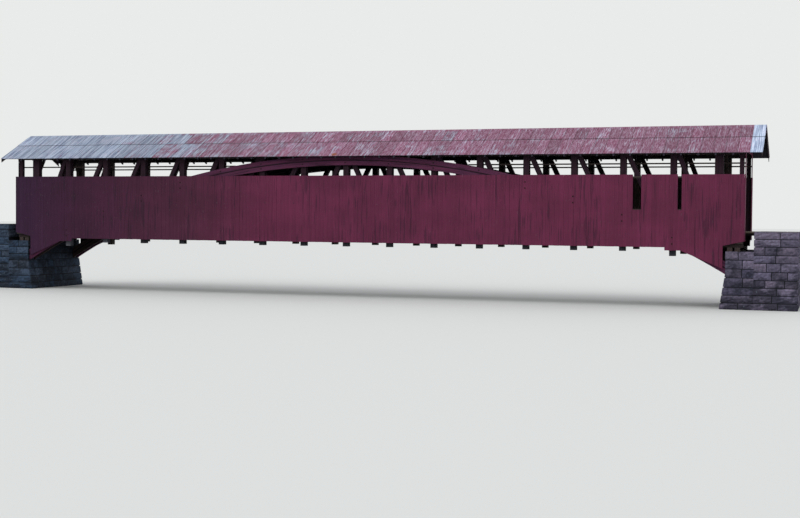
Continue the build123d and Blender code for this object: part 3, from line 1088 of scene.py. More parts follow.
@dataclass
class TrussTimber:
    """The timbers that keep their solids: each gets a finish whose grain runs its way.

    Attributes:
        old_pale: pale fibres of oak that was never painted.
        old_dark: dark fibres of the same oak.
        paint_foot: height at which the paint on the posts ends.
        bent_fibre_mm: width of the fibres that show on the arches.
    """

    old_pale: str = "#5d4f4b"
    old_dark: str = "#2a2223"
    paint_foot: float = 1.655
    bent_fibre_mm: float = 12.0

    def bare_oak(self, name: str, grain: Grain) -> SawnTimber:
        """Sawn oak left to weather: grey-brown, with long dark cracks along its grain."""
        return SawnTimber(name, grain=grain, pale=self.old_pale, dark=self.old_dark)

    def looks(self) -> dict[Finish, Sequence[str]]:
        """Chooses a finish for each timber.

        Returns:
            For each finish, the solids that have it.
        """
        # Oak posts with thin red paint: the eye sees dark plum down to the siding's foot, then grey.
        posts = SawnTimber(
            "worn_red_paint_on_oak_posts",
            grain=Grain.UPRIGHT, pale="#432632", dark="#201923", bare_below=self.paint_foot,
        )
        # The same paint on the braces, with its grain up their slope.
        braces = SawnTimber(
            "worn_red_paint_on_oak_braces", grain=Grain.BRACE, pale="#402532", dark="#1f1822"
        )
        # Oak leaves bent to the arch: the eye sees the brightest red of the bridge over a joint darkened by
        # painted shadow.
        arch = SawnTimber(
            "worn_red_paint_on_bent_oak",
            grain=Grain.ARC, pale="#763654", dark="#482c48", fibre_mm=self.bent_fibre_mm,
        )
        # The leaves on the roadway side were never painted, and are brown and dull.
        bare_arch = SawnTimber(
            "weathered_bent_oak",
            grain=Grain.ARC, pale="#54403f", dark="#2a2022", fibre_mm=self.bent_fibre_mm,
        )
        # Pine rafters, dark with age, with painted shade: their colour carries the blue-grey of the shade
        # under the roof.
        pine_in_painted_shade = SawnTimber("smoked_pine_across", grain=Grain.ACROSS, pale="#48434f", dark="#211e28")
        pairs = [(side.word, leaf) for side in Side for leaf in ("lower", "upper")]
        return {
            self.bare_oak("weathered_oak_along", Grain.ALONG): (
                "near_lower_chord", "far_lower_chord", "near_upper_chord", "far_upper_chord",
                "stringers", "lower_laterals", "upper_laterals", "upper_rails", "siding_girts",
            ),
            posts: ("near_posts", "portal_posts"),
            self.bare_oak("weathered_oak_upright", Grain.UPRIGHT): ("far_posts",),
            braces: ("near_braces", "far_braces"),
            self.bare_oak("weathered_oak_across", Grain.ACROSS): (
                "bed_timbers", "floor_beams", "tie_beams", "knee_braces",
            ),
            pine_in_painted_shade: ("near_rafters", "far_rafters"),
            arch: [f"{word}_outer_arch_{leaf}_leaf" for word, leaf in pairs],
            bare_arch: [f"{word}_inner_arch_{leaf}_leaf" for word, leaf in pairs],
        }

    def build(self) -> None:
        """Gives every carried-over timber its finish."""
        for look, nodes in self.looks().items():
            for node in nodes:
                give_finish(node, look)


@dataclass
class Arches:
    """The bolts of the bent arches, in pairs at every post, on the faces that show.

    Attributes:
        leaf: distance between the two bolts of a pair.
        outer_face: distance of the outer arches' faces from the middle.
        inner_face: distance of the roadway's faces from the middle.
        shows_over: height over which the outer faces show above the siding.
        last_station: number of panels from the middle to the last pair.
    """

    # Sides, radius, start and thickness of the washer, the nut and the end of the bolt.
    bolt_rings: ClassVar[tuple[tuple[int, float, float, float], ...]] = (
        (12, 0.021, 0.0, 0.003), (6, 0.0125, 0.003, 0.009), (8, 0.006, 0.012, 0.004),
    )
    leaf: float = 0.148
    outer_face: float = 1.41
    inner_face: float = 1.09
    shows_over: float = 3.7
    last_station: int = 7
    iron: Finish = RustedIron()

    @staticmethod
    def joint(x: float) -> float:
        """Height of the joint between the leaves at x."""
        return ARCH_CENTRE + math.sqrt(ARCH_RADIUS**2 - x**2)

    @classmethod
    def bolt(cls, draft: Draft, face: Plane3, x: float, height: float, out: float = 0.0) -> None:
        """Adds a round washer, a nut and the end of the bolt.

        Args:
            draft: the piece that they go into.
            face: the upright face that they lie on.
            x: place along the bridge.
            height: height over the ground.
            out: distance of the washer's back from the face.
        """
        middle = (x * face.across.x, height)
        for sides, radius, start, thick in cls.bolt_rings:
            ring = face.oval(middle, out + start, (radius, radius), sides)
            draft.prism(ring, face.outward * thick)

    def build(self) -> None:
        """Adds the bolts on the roadway faces and, over the siding, on the outer faces."""
        for side in Side:
            draft = Draft(f"{side.word}_arch_bolts", [self.iron])
            outer = side_face(side, self.outer_face)
            inner = side_face(side, self.inner_face, inward=True)
            for station in range(-self.last_station, self.last_station + 1):
                x = station * PANEL
                for shift in (-0.5, 0.5):
                    height = self.joint(x) + shift * self.leaf
                    self.bolt(draft, inner, x, height)
                    if height > self.shows_over:
                        self.bolt(draft, outer, x, height)
            draft.finish("painted_arch")


@dataclass
class Siding:
    """The board walls of both sides, with their nails and the ends of the arch bolts.

    Attributes:
        paint: finish of the boards.
        bare: finish of their backs.
        iron: finish of the nails and bolts.
        bottom: height of the boards' feet.
        inner: distance of their backs from the middle.
        seat_rise: how far they end higher over a seat.
        end_rise: how far they end higher at the portal.
        skirt_corner: place of the skirt's outer corner, whose foot hangs skirt_drop below.
        skirt_diagonal: place where the skirt's slope ends, with its foot skirt_step below.
        skirt_inner: place of the skirt's inner end.
        break_height: height of the broken ends under the missing boards.
        missing: middle and width of each place on the near side that has lost its boards.
        girt_heights: heights of the girts, where the boards are nailed.
        bolt_stations: panels from the middle where arch bolts come through the boards.
        bolt_shifts: heights of the two bolts over the joint of the leaves.
        knot_places: place, height and radius of each dark disc that stands for a knot hole.
    """

    paint: Finish = PaintedBoards()
    bare: Finish = BOARD_BACKS
    iron: Finish = RustedIron()
    bottom: float = 1.66
    inner: float = 1.44
    seat_rise: float = 0.06
    end_rise: float = 0.184
    skirt_corner: float = 11.02
    skirt_drop: float = 0.565
    skirt_step: float = 0.088
    skirt_diagonal: float = 9.895
    skirt_inner: float = 9.46
    break_height: float = 2.685
    missing: tuple[tuple[float, float], ...] = ((8.692, 0.232), (9.854, 0.108))
    girt_heights: tuple[float, ...] = (1.802, 2.672, 3.597)
    nail_half: float = 0.0024
    nail_shares: tuple[float, ...] = (0.24, 0.76)
    nail_strays: tuple[float, float] = (0.004, 0.008)
    nail_start: float = 0.012
    nail_length: float = 0.0038
    bolt_stations: tuple[int, ...] = (-7, -6, -5, -4, 4, 5, 6, 7)
    bolt_shifts: tuple[float, ...] = (0.045, -0.13)
    bolt_start: float = 0.0145
    knot_places: tuple[tuple[float, float, float], ...] = ((-2.6, 2.84, 0.02), (-1.64, 2.834, 0.017))
    knot_shape: float = 0.8
    knot_start: float = 0.010
    knot_depth: float = 0.0052
    arris: float = 0.0012

    def edges(self, side: Side) -> tuple[Edge, Edge]:
        """Upper and lower edge of one side's wall, along +X.

        Args:
            side: the side.

        Returns:
            Both edges.
        """
        half = [
            (SIDING_END, self.bottom + self.end_rise),
            (self.skirt_corner, self.bottom + self.seat_rise),
            (self.skirt_corner, self.bottom - self.skirt_drop),
            (self.skirt_diagonal, self.bottom - self.skirt_step),
            (self.skirt_inner, self.bottom - self.skirt_step),
            (self.skirt_inner, self.bottom),
        ]
        lower = [(-x, z) for x, z in half] + half[::-1]
        upper = [(-SIDING_END, SIDING_TOP)]
        if side is Side.NEAR:
            for middle, width in self.missing:
                left, right = middle - width / 2, middle + width / 2
                upper += [(left, SIDING_TOP), (left, self.break_height)]
                upper += [(right, self.break_height), (right, SIDING_TOP)]
        upper.append((SIDING_END, SIDING_TOP))
        return Edge(tuple(upper)), Edge(tuple(lower))

    def build(self) -> None:
        """Makes the boards, nails and bolt ends of both sides, and the near side's dark knot holes."""
        for side in Side:
            upper, lower = self.edges(side)
            if side is Side.FAR:
                upper, lower = upper.mirrored, lower.mirrored
            face = side_face(side, self.inner)
            wall = BoardWall(upper, lower, seed=11 + side.value)
            boards = Draft(f"{side.word}_siding_boards", [self.paint, self.bare])
            wall.lay(boards, face)
            boards.finish("painted_boards", [f"{side.word}_siding"], bevel=self.arris)
            self.nails(side, face, wall)
            self.bolt_ends(side, face)
        self.knots()

    def nails(self, side: Side, face: Plane3, wall: BoardWall) -> None:
        """Adds two cut nails in each board at each girt.

        Args:
            side: the side.
            face: the face behind the boards.
            wall: the boards, laid.
        """
        draft = Draft(f"{side.word}_siding_nails", [self.iron])
        draw = random.Random(31 + side.value)
        stray_u, stray_v = self.nail_strays
        half = self.nail_half
        for left, right in wall.sides:
            upper = min(v for _, v in wall.top.between(left, right))
            for height in (girt for girt in self.girt_heights if girt <= upper):
                for share in self.nail_shares:
                    u = left + (right - left) * share + draw.uniform(-stray_u, stray_u)
                    v = height + draw.uniform(-stray_v, stray_v)
                    square = [(-half, -half), (half, -half), (half, half), (-half, half)]
                    outline = [face.at(u + a, v + b, self.nail_start) for a, b in square]
                    draft.prism(outline, face.outward * self.nail_length)
        draft.finish("painted_boards")

    def bolt_ends(self, side: Side, face: Plane3) -> None:
        """Adds the pairs of arch bolts that come through the boards between the posts' feet.

        Args:
            side: the side.
            face: the face behind the boards.
        """
        draft = Draft(f"{side.word}_siding_bolts", [self.iron])
        for station in self.bolt_stations:
            for shift in self.bolt_shifts:
                x = station * PANEL
                Arches.bolt(draft, face, x, Arches.joint(x) + shift, self.bolt_start)
        draft.finish("painted_boards")

    def knots(self) -> None:
        """Adds two dark discs for the knot holes on the near side: their darkness is painted shade."""
        draft = Draft("siding_knots", [self.bare])
        face = side_face(Side.NEAR, self.inner)
        for x, z, radius in self.knot_places:
            ring = face.oval((x, z), self.knot_start, (radius * self.knot_shape, radius), 12)
            # Painted shade: each knot hole is a dark disc of bare wood at tone 0.
            draft.prism(ring, face.outward * self.knot_depth, tone=0.0)
        draft.finish("painted_boards")


@dataclass
class Portals:
    """The board fronts at both ends, over and beside the roadway.

    Attributes:
        wall_half: distance of the jambs' outer edges from the middle.
        jamb_inner: half the width of the opening.
        post_face: half the width of the gable boards.
        corner: size of the cut corners of the opening.
        corner_height: height at which they start.
    """

    paint: Finish = PaintedBoards()
    bare: Finish = BOARD_BACKS
    wall_half: float = 1.455
    jamb_inner: float = 1.09
    post_face: float = 1.31
    corner: float = 0.15
    corner_height: float = 4.135
    arris: float = 0.0012

    def build(self) -> None:
        """Makes the gable boards and jamb boards of both ends."""
        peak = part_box("portal_gables")[1][2]
        jamb_low, jamb_high = (corner[2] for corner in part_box("portal_jambs"))
        half, inner = self.post_face, self.jamb_inner
        eave = peak - math.tan(ROOF_PITCH) * half
        roof_edge = Edge(((-half, eave), (0.0, peak), (half, eave)))
        opening = self.corner_height + self.corner
        foot = Edge((
            (-half, self.corner_height), (-inner, self.corner_height), (-inner + self.corner, opening),
            (inner - self.corner, opening), (inner, self.corner_height), (half, self.corner_height),
        ))
        gables = Draft("portal_gable_boards", [self.paint, self.bare])
        jambs = Draft("portal_jamb_boards", [self.paint, self.bare])
        for end in End:
            face = Plane3(X_AXIS * end.value * SIDING_END, Y_AXIS * end.value, Z_AXIS)
            BoardWall(roof_edge, foot, seed=21 + end.value).lay(gables, face)
            for start, stop, height in (
                (-self.wall_half, -half, SIDING_TOP), (-half, -inner, jamb_high),
                (inner, half, jamb_high), (half, self.wall_half, SIDING_TOP),
            ):
                top = Edge(((start, height), (stop, height)))
                bottom = Edge(((start, jamb_low), (stop, jamb_low)))
                BoardWall(top, bottom, seed=41 + end.value).lay(jambs, face)
        gables.finish("painted_boards", ["portal_gables"], bevel=self.arris)
        jambs.finish("painted_boards", ["portal_jambs"], bevel=self.arris)


@dataclass
class RoofSlope:
    """Places on one slope of the roof."""

    side: Side
    ridge: float = 5.0706

    def at(self, x: float, run: float, lift: float) -> Vector:
        """Point at x, run metres out from the ridge and lift off the roof boards."""
        y = self.side.value * (run + lift * math.sin(ROOF_PITCH))
        return Vector((x, y, self.ridge - run * math.tan(ROOF_PITCH) + lift * math.cos(ROOF_PITCH)))


@dataclass
class Roof:
    """Sheathing, crimped sheets, ridge cap and barge boards.

    Attributes:
        end: half the length of the metal.
        board_end: half the length of the roof boards.
        eave: distance of the eave from the middle.
        lower_start: distance at which the lower tier of sheets starts.
        upper_stop: distance at which the upper tier ends, over the lower one.
        lower_lift: height of the lower tier's flats off the roof boards.
        upper_lift: height of the upper tier's flats off the roof boards.
        sheets: number of sheets along the roof.
        zones: for places along the bridge, the share of paint left and the tone there.
        cover_spread: how much the share of paint differs from sheet to sheet.
        tone_spread: how much their tone differs.
        new_tone: tone of the new sheet at the right end.
        crimp: height of a crimp at a sheet's side.
        crimp_half: half the width of a crimp.
        lap_steps: distances of the first folds from the upper end of a sheet.
    """

    metal: Finish = PaintedTinSheet()
    # Pine boards under the metal, dark with age, with painted shade: their colour carries the blue-grey of
    # the shade under the roof.
    boards: Finish = SawnTimber("smoked_pine_along", pale="#48434f", dark="#211e28")
    # Pine under dark brown paint, which the eye sees as a thin dark line at the roof's end.
    barge: Finish = SawnTimber(
        "dark_paint_on_barge_boards", grain=Grain.ACROSS, pale="#3a2a30", dark="#1f1a1e"
    )
    end: float = 12.037
    board_end: float = 12.022
    eave: float = 1.6225
    lower_start: float = 0.64
    upper_stop: float = 0.70
    lower_lift: float = 0.0006
    upper_lift: float = 0.0046
    board_start: float = 0.014
    board_rows: int = 13
    board_gap: float = 0.006
    board_joint: float = 0.001
    board_depth: float = 0.015
    board_lengths: tuple[float, float] = (1.8, 3.0)
    board_shortest: float = 0.6
    sheets: int = 73
    zones: tuple[tuple[float, float, float], ...] = (
        (-12.0, 0.04, 0.5),
        (-8.4, 0.1, 0.42),
        (-6.4, 0.34, 0.3),
        (-4.6, 0.62, 0.36),
        (-1.0, 0.74, 0.42),
        (2.5, 0.76, 0.46),
        (5.5, 0.88, 0.36),
        (12.1, 0.92, 0.26),
    )
    cover_spread: float = 0.09
    tone_spread: float = 0.17
    new_cover: float = -1.0
    new_tone: float = 1.05
    crimp: float = 0.009
    crimp_half: float = 0.009
    crimp_under_cap: float = 0.0015
    cap_covers: float = 0.105
    lap_steps: tuple[float, ...] = (0.0, 0.062, 0.07, 0.11, 0.16)
    uneven_foot: float = 0.007
    waviness: float = 0.0012
    # Least and greatest painted shade beside a sheet's side crimps.
    crimp_shade: tuple[float, float] = (0.2, 0.65)
    cap_length: float = 1.22
    cap_last: float = 0.33
    cap_lap: float = 0.02
    cap_lift: float = 0.0092
    cap_waviness: float = 0.0008
    cap_top: float = 5.0826
    # Distance from the ridge and drop of each fold of the cap, from its ridge to its hem.
    cap_folds: tuple[tuple[float, float], ...] = ((0.012, 0.0), (0.1, 0.0), (0.109, 0.004))

    def zone(self, x: float) -> tuple[float, float]:
        """Wear of the metal at one place.

        Args:
            x: place along the bridge.

        Returns:
            Share of paint left there, and the tone.
        """
        for (x0, cover0, tone0), (x1, cover1, tone1) in zip(self.zones, self.zones[1:]):
            if x <= x1:
                share = max(0.0, (x - x0) / (x1 - x0))
                return cover0 + (cover1 - cover0) * share, tone0 + (tone1 - tone0) * share
        return self.zones[-1][1], self.zones[-1][2]

    def build(self) -> None:
        """Makes both slopes, the ridge cap and the barge boards' paint."""
        for side in Side:
            slope = RoofSlope(side)
            self.sheathing(slope)
            self.course(slope, "lower", self.lower_start, self.eave, self.lower_lift, seed=5)
            self.course(slope, "upper", 0.0, self.upper_stop, self.upper_lift, seed=9)
        self.cap()
        give_finish("barge_boards", self.barge)

    def sheathing(self, slope: RoofSlope) -> None:
        """Lays the boards that carry the sheets, in rows along the bridge.

        Args:
            slope: the slope that they lie on.
        """
        word = slope.side.word
        draft = Draft(f"{word}_roof_sheathing", [self.boards])
        draw = random.Random(51 + slope.side.value)
        depth = slope.at(0, 0, -self.board_depth) - slope.at(0, 0, 0)
        reach = self.eave - self.board_start
        for row in range(self.board_rows):
            low = self.board_start + reach * row / self.board_rows
            high = self.board_start + reach * (row + 1) / self.board_rows - self.board_gap
            x = -self.board_end
            while x < self.board_end:
                after = min(self.board_end, x + draw.uniform(*self.board_lengths))
                if self.board_end - after < self.board_shortest:
                    after = self.board_end
                left, right = x + self.board_joint, after - self.board_joint
                corners = (left, low), (right, low), (right, high), (left, high)
                outline = [slope.at(place, run, 0.0) for place, run in corners]
                draft.prism(outline, depth, tone=draw.random())
                x = after
        draft.finish("roof_timber", [f"{word}_roof_boards"])

    def course(self, slope: RoofSlope, tier: str, start: float, stop: float, lift: float, seed: int) -> None:
        """Lays one tier of crimped sheets.

        Args:
            slope: the slope that they lie on.
            tier: upper or lower, as the solids name it.
            start: upper end of the tier, out from the ridge.
            stop: lower end of the tier.
            lift: height of the flat of a sheet off the roof boards.
            seed: seed of its random draws.
        """
        word = slope.side.word
        draft = Draft(f"{word}_{tier}_crimped_sheets", [self.metal])
        draw = random.Random(seed + slope.side.value)
        width = 2 * self.end / self.sheets
        lap = self.lap_steps[-1]
        stations = [start + step for step in self.lap_steps]
        stations += [start + lap + (stop - start - lap) * k / 3 for k in range(1, 4)]
        section = self.section(width)
        beside_crimp = (section[1][0], section[-2][0])
        faces = grid_faces(len(section) - 1, len(stations) - 1)
        for number in range(self.sheets):
            left = -self.end + number * width
            cover, tone = self.wear(slope.side, tier, number, left + width / 2, draw)
            foot = draw.uniform(-self.uneven_foot, 0.0)
            seam = draw.uniform(*self.crimp_shade)
            points = []
            soot = []
            for place, run in enumerate(stations):
                # Painted shade: the lower tier darkens under and just below the upper tier's lap, and each
                # sheet beside its side crimps.
                capped = tier == "upper" and run < self.cap_covers
                lapped = tier == "lower" and place < 3
                wave = draw.uniform(0.0, self.waviness)
                run_here = run + (foot if place == len(stations) - 1 else 0.0)
                for u, height in section:
                    crimped = self.crimp_under_cap if (capped and height) else height
                    points.append(slope.at(left + u, run_here, lift + wave + crimped))
                    soot.append(1.0 if lapped else seam * (u in beside_crimp))
            draft.part(points, faces, tone=tone, cover=cover, soot=soot)
        give_gauge(draft.finish("roof_metal", [f"{word}_{tier}_roof_sheets"]))

    def wear(
        self, side: Side, tier: str, number: int, x: float, draw: random.Random
    ) -> tuple[float, float]:
        """Wear of one sheet.

        Args:
            side: the side that it lies on.
            tier: upper or lower.
            number: its place from the left.
            x: place of its middle along the bridge.
            draw: random draws.

        Returns:
            Share of paint left on it, and its tone.
        """
        cover, tone = self.zone(x)
        cover = clamped(cover + draw.gauss(0, self.cover_spread))
        tone = clamped(tone + draw.gauss(0, self.tone_spread))
        from_right = self.sheets - 1 - number
        if side is Side.NEAR and from_right == 0:
            return self.new_cover, self.new_tone
        if side is Side.NEAR and from_right == 1:
            return 1.0, (0.0 if tier == "upper" else 0.6)
        return cover, tone

    def section(self, width: float) -> list[tuple[float, float]]:
        """Section of a sheet: a crimp at each side and a lower one in the middle.

        Args:
            width: width of the sheet.

        Returns:
            Distance across the sheet and height of each point.
        """
        half = self.crimp_half
        middle = width / 2
        return [
            (0.0, self.crimp), (half, 0.0), (half * 3, 0.0),
            (middle - half, 0.0), (middle, self.crimp * 0.7), (middle + half, 0.0),
            (width - half * 3, 0.0), (width - half, 0.0), (width, self.crimp),
        ]

    def cap(self) -> None:
        """Folds the ridge cap over both slopes in lengths that lap."""
        draft = Draft("ridge_cap_lengths", [self.metal])
        near, far = RoofSlope(Side.NEAR), RoofSlope(Side.FAR)
        draw = random.Random(71)
        last = self.end - self.cap_last
        faces = grid_faces(2 * len(self.cap_folds), 1)
        x = -self.end
        while x < self.end - SHORT_END:
            after = min(last, x + self.cap_length)
            if last - x < SHORT_END:
                after = self.end
            cover, tone = self.zone((x + after) / 2)
            if after == self.end:
                cover, tone = self.new_cover, 1.0
            lift = self.cap_lift + draw.uniform(0.0, self.cap_waviness)
            points = []
            for end in (x, min(self.end, after + self.cap_lap)):
                points += [near.at(end, run, lift - drop) for run, drop in reversed(self.cap_folds)]
                points.append(Vector((end, 0.0, self.cap_top)))
                points += [far.at(end, run, lift - drop) for run, drop in self.cap_folds]
            draft.part(points, faces, tone=clamped(tone + draw.gauss(0, 0.1)), cover=cover)
            x = after
        give_gauge(draft.finish("roof_metal", ["ridge_cap"]))


@dataclass
class Deck:
    """The roadway planks, laid across on the stringers.

    Attributes:
        narrow: narrowest plank.
        wide: widest plank.
        gap: opening between planks.
        uneven_end: how unevenly their ends are cut.
        worn: how much thinner a plank may be.
        tones: mean and spread of their tones.
    """

    wood: Finish = PlankWear()
    narrow: float = 0.105
    wide: float = 0.14
    gap: float = 0.003
    uneven_end: float = 0.008
    worn: float = 0.0025
    tones: tuple[float, float] = (0.5, 0.22)
    arris: float = 0.002

    def build(self) -> None:
        """Lays the planks from end to end."""
        low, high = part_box("deck")
        draft = Draft("deck_planks", [self.wood])
        draw = random.Random(61)
        x = low[0]
        while x < high[0] - SHORT_END:
            after = x + draw.uniform(self.narrow, self.wide)
            if high[0] - after < self.narrow:
                after = high[0]
            back = [draw.uniform(0.0, self.uneven_end) for _ in range(2)]
            drop = draw.uniform(0.0, self.worn)
            draft.block(
                (x + self.gap / 2, low[1] + back[0], low[2]),
                (after - self.gap / 2, high[1] - back[1], high[2] - drop),
                tone=draw.gauss(*self.tones),
            )
            x = after
        draft.finish("deck_planks", ["deck"], bevel=self.arris)


@dataclass(frozen=True)
class Bed:
    """Place of one stone in a face.

    Attributes:
        left: its left side.
        right: its right side.
        low: its foot.
        high: its head.
        first: whether it ends at the face's left corner.
        last: whether it ends at the face's right corner.
        top: whether it is in the top course.
    """

    left: float
    right: float
    low: float
    high: float
    first: bool
    last: bool
    top: bool


@dataclass
class Masonry:
    """Coursed stone on the faces of a mass of masonry, over a core that shows in the joints.

    Attributes:
        stones: finish of the stones of each end.
        joint: finish of the core.
        course: usual height of a course.
        course_spread: least and greatest share of the usual height that a course may have.
        short: shortest stone.
        long: longest stone.
        gap: width of a joint.
        depth: depth of a stone behind its face.
        coping: width of the stones along the edge of an approach.
        proud: how far the middle of a stone may stand out from its rim.
        tooling: how unevenly its rim is cut.
        strays: how far points of its face stray across and up.
        columns: points across a stone, less one.
        rows: points up a stone, less one.
        tone_spread: how much the stones differ in tone.
        batter: how far the foot under the span leans out.
        batter_height: height at which it is plumb again.
        shelter: heights between which the face under the span falls into the deck's shade.
    """

    # The left end's stones are darker and bluer, and the right end's are a lighter copy of the same stone:
    # painted shade and painted light, as the left end stands in shade.
    stones: Mapping[End, Finish] = field(
        default_factory=lambda: {
            End.LEFT: DressedStone(),
            End.RIGHT: DressedStone("hammer_dressed_sandstone_dry", blue="#5c586e", brown="#7c7286"),
        }
    )
    # Lime mortar, coloured near black as painted shade in the deep joints: the eye sees near-black lines.
    joint: Finish = Granular("lime_mortar_weathered_dark", pale="#1e2126", dark="#0f1013", grit_mm=8.0)
    gravel: Finish = Granular()
    course: float = 0.215
    course_spread: tuple[float, float] = (0.8, 1.25)
    short: float = 0.28
    long: float = 0.7
    gap: float = 0.021
    depth: float = 0.05
    coping: float = 0.24
    proud: float = 0.021
    tooling: float = 0.003
    strays: tuple[float, float] = (0.006, 0.004)
    columns: int = 6
    rows: int = 4
    tone_spread: float = 0.24
    batter: float = 0.15
    batter_height: float = 0.94
    shelter: tuple[float, float] = (0.9, 1.2)

    def courses(self, height: float, draw: random.Random) -> list[float]:
        """Divides a height into courses.

        Args:
            height: the height.
            draw: random draws.

        Returns:
            Heights of the bed joints, from the foot to the top.
        """
        count = max(1, round(height / self.course))
        sizes = [draw.uniform(*self.course_spread) for _ in range(count)]
        total = sum(sizes)
        levels = [0.0]
        for size in sizes:
            levels.append(levels[-1] + size / total * height)
        return levels

    def lean(self, height: float) -> float:
        """How far a battered face stands out at a height."""
        return self.batter * max(0.0, 1 - height / self.batter_height)

    def face(
        self, draft: Draft, face: Plane3, width: float, levels: Sequence[float],
        draw: random.Random, blue: float, foot: Foot = Foot.PLUMB,
    ) -> None:
        """Lays the stones of one face.

        Args:
            draft: the piece that they go into.
            face: the face, with its origin at the foot.
            width: its width.
            levels: heights of the bed joints.
            draw: random draws.
            blue: tone of its stones, from 0 for blue-grey to 1 for brown.
            foot: where its foot leans out.
        """
        half = self.gap / 2
        for low, high in zip(levels, levels[1:]):
            top = high == levels[-1]
            u = 0.0
            while u < width - TOUCH:
                after = u + draw.uniform(self.short, self.long)
                if width - after < self.short:
                    after = width
                first, last = u == 0.0, after == width
                left, right = u + half * (not first), after - half * (not last)
                bed = Bed(left, right, low + half, high - half * (not top), first, last, top)
                self.stone(draft, face, bed, draw, blue, foot)
                u = after

    def stone(
        self, draft: Draft, face: Plane3, bed: Bed, draw: random.Random, blue: float, foot: Foot
    ) -> None:
        """Adds one rough stone, whose corners are mitred behind its face.

        Args:
            draft: the piece that it goes into.
            face: the face that it lies in.
            bed: its place there.
            draw: random draws.
            blue: tone of the face's stones.
            foot: where the face's foot leans out.
        """
        step = self.columns + 1
        points = []
        deck_shade = []
        for row in range(self.rows + 1):
            for column in range(step):
                u, v, out = self.dressed_point(bed, column, row, draw)
                if foot is Foot.FRONT:
                    out += self.lean(v)
                elif foot is Foot.START and bed.first:
                    u -= self.lean(v) * (1 - column / self.columns)
                elif foot is Foot.STOP and bed.last:
                    u += self.lean(v) * column / self.columns
                points.append(face.at(u, v, out))
                # Painted shade: high on the face under the span, the deck's shade is painted on.
                share = (v - self.shelter[0]) / (self.shelter[1] - self.shelter[0])
                deck_shade.append(clamped(share) if foot is Foot.FRONT else 0.0)
        faces = grid_faces(self.columns, self.rows)
        rim = list(range(step))
        rim += [row * step + self.columns for row in range(1, self.rows + 1)]
        rim += [self.rows * step + column for column in range(self.columns - 1, -1, -1)]
        rim += [row * step for row in range(self.rows - 1, 0, -1)]
        start, count = len(points), len(rim)
        for corner in rim:
            column = corner % step
            mitre = (column == 0 and bed.first) - (column == self.columns and bed.last)
            points.append(points[corner] + (face.across * mitre - face.outward) * self.depth)
        deck_shade += [deck_shade[corner] for corner in rim]
        for place in range(count):
            after = (place + 1) % count
            faces.append((rim[after], rim[place], start + place, start + after))
        faces.append(tuple(start + place for place in range(count)))
        tone = clamped(blue + draw.gauss(0, self.tone_spread))
        draft.part(points, faces, tone=tone, cover=draw.random(), soot=deck_shade)

    def dressed_point(
        self, bed: Bed, column: int, row: int, draw: random.Random
    ) -> tuple[float, float, float]:
        """One point of a stone's face, as the hammer left it.

        Args:
            bed: the stone's place.
            column: the point's place across it.
            row: the point's place up it.
            draw: random draws.

        Returns:
            The point's place across and up the face, and out from it.
        """
        at_side = (column == 0 and bed.first) or (column == self.columns and bed.last)
        rim = row in (0, self.rows) or column in (0, self.columns)
        u = bed.left + (bed.right - bed.left) * column / self.columns
        v = bed.low + (bed.high - bed.low) * row / self.rows
        out = -self.proud - self.tooling if rim else -draw.uniform(0.0, self.proud)
        if at_side or (row == self.rows and bed.top):
            out = -self.tooling
        if rim:
            return u, v, out - draw.uniform(0.0, self.tooling)
        u += draw.uniform(-self.strays[0], self.strays[0])
        v += draw.uniform(-self.strays[1], self.strays[1])
        return u, v, out


